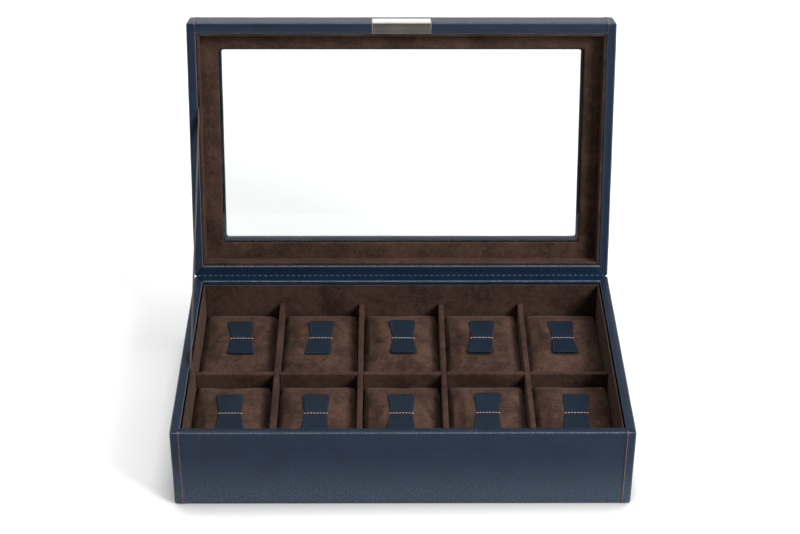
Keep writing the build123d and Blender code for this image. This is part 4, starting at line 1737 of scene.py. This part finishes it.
class WATCHBOX_OT_carcass(bpy.types.Operator):
    """Finishes of the boards, glass, bottom sheet, floor lining and magnet, which keep their CAD shapes"""

    bl_idname = "watch_box.carcass"
    bl_label = "Carcass and glass"

    def execute(self, context):
        board = fibreboard_material()
        for label in ("base", "lid"):
            for name in ("front", "back", "left", "right"):
                paint(f"{label}_board_{name}", board)
        paint("base_board_floor", board)
        paint("lid_board_top", board)
        paint("base_bottom_sheet", base_felt_material())
        paint("base_lining_floor", suede_on("board", context))
        paint(
            "closure_magnet",
            nickel_material("nickel_plated_magnet", linear("#b9b6b0"), (0.2, 0.35), 0.4 * MM),
        )
        paint("window_glass", glass_material())
        return {"FINISHED"}


# Stage

# The camera's place, how far it looks down, and its turns about the upright and its own axis, in degrees
CAMERA_PLACE = (-10.349 * MM, -1126.89 * MM, 861.902 * MM)
CAMERA_DOWN, CAMERA_ASIDE, CAMERA_ROLL = 32.677, -0.435, 0.187
LENS_LENGTH, SENSOR_WIDTH = 82.151, 36.0


def softbox(name, place, target, width, depth, power):
    """A rectangular light that faces a point."""
    light = bpy.data.lights.new(name, "AREA")
    light.shape = "RECTANGLE"
    light.size = width
    light.size_y = depth
    light.energy = power
    lamp = bpy.data.objects.new(name, light)
    lamp.location = place
    lamp.rotation_euler = (Vector(target) - Vector(place)).to_track_quat("-Z", "Y").to_euler()
    bpy.context.scene.collection.objects.link(lamp)


class WATCHBOX_OT_stage(bpy.types.Operator):
    """Pale floor, soft studio light and the camera"""

    bl_idname = "watch_box.stage"
    bl_label = "Stage"

    def execute(self, context):
        settings = context.scene.watch_box_stage
        self.lay_floor(context, settings)
        softbox("key_softbox", (1.1, -0.8, 1.15), (0, 0, 0.05), 0.7, 0.7, settings.key_power)
        softbox("fill_softbox", (-0.1, -1.4, 1.8), (0, 0, 0.1), 1.4, 0.9, settings.fill_power)
        softbox("strip_softbox", (0, 0.4, 1.5), (0, 0.05, 0), 1.8, 0.5, settings.strip_power)
        softbox("back_softbox", (0.1, 2.2, 0.5), (0, 0, 0.3), 3.2, 1.1, settings.back_power)
        world = bpy.data.worlds.new("room")
        world.use_nodes = True
        background = world.node_tree.nodes["Background"]
        background.inputs["Color"].default_value = (1, 1, 1, 1)
        background.inputs["Strength"].default_value = settings.room
        context.scene.world = world
        context.scene.view_settings.view_transform = "Standard"
        self.set_camera(context)
        return {"FINISHED"}

    def lay_floor(self, context, settings):
        half = 6.0
        corners = [(-half, -half, 0), (half, -half, 0), (half, half, 0), (-half, half, 0)]
        mesh = bpy.data.meshes.new("floor")
        mesh.from_pydata(corners, [], [(0, 1, 2, 3)])
        mesh.materials.append(floor_material(settings.floor_colour))
        floor = bpy.data.objects.new("floor", mesh)
        floor.location.z = -0.05 * MM
        context.scene.collection.objects.link(floor)

    def set_camera(self, context):
        lens = bpy.data.cameras.new("camera")
        lens.lens = LENS_LENGTH
        lens.sensor_width = SENSOR_WIDTH
        lens.sensor_fit = "HORIZONTAL"
        camera = bpy.data.objects.new("camera", lens)
        turn = Matrix.Rotation(radians(CAMERA_ASIDE), 4, "Z")
        turn = turn @ Matrix.Rotation(radians(90 - CAMERA_DOWN), 4, "X")
        turn = turn @ Matrix.Rotation(radians(CAMERA_ROLL), 4, "Z")
        camera.matrix_world = Matrix.Translation(CAMERA_PLACE) @ turn
        context.scene.collection.objects.link(camera)
        context.scene.camera = camera


class VIEW3D_PT_watch_box(bpy.types.Panel):
    """Lists the box's pieces and their settings"""

    bl_label = "Watch box"
    bl_space_type = "VIEW_3D"
    bl_region_type = "UI"
    bl_category = "Watch box"

    def draw(self, context):
        for operator in OPERATORS:
            self.layout.operator(operator.bl_idname)
        for name, group in SETTINGS.items():
            box = self.layout.box()
            box.label(text=name.removeprefix("watch_box_").capitalize())
            for key in group.__annotations__:
                box.prop(getattr(context.scene, name), key)


OPERATORS = (
    WATCHBOX_OT_stage,
    WATCHBOX_OT_carcass,
    WATCHBOX_OT_base_leather,
    WATCHBOX_OT_lid_leather,
    WATCHBOX_OT_hinge_leather,
    WATCHBOX_OT_seam_stitches,
    WATCHBOX_OT_linings,
    WATCHBOX_OT_dividers,
    WATCHBOX_OT_window_frame,
    WATCHBOX_OT_clasp_plate,
    WATCHBOX_OT_ribbon,
    WATCHBOX_OT_cushions,
    WATCHBOX_OT_tabs,
)


def register():
    for cls in (*SETTINGS.values(), *OPERATORS, VIEW3D_PT_watch_box):
        bpy.utils.register_class(cls)
    for name, cls in SETTINGS.items():
        setattr(bpy.types.Scene, name, bpy.props.PointerProperty(type=cls))


def unregister():
    for name in SETTINGS:
        delattr(bpy.types.Scene, name)
    for cls in (VIEW3D_PT_watch_box, *reversed(OPERATORS), *SETTINGS.values()):
        bpy.utils.unregister_class(cls)


def main():
    register()
    for operator in OPERATORS:
        group, name = operator.bl_idname.split(".")
        getattr(getattr(bpy.ops, group), name)()


if __name__ == "__main__":
    main()
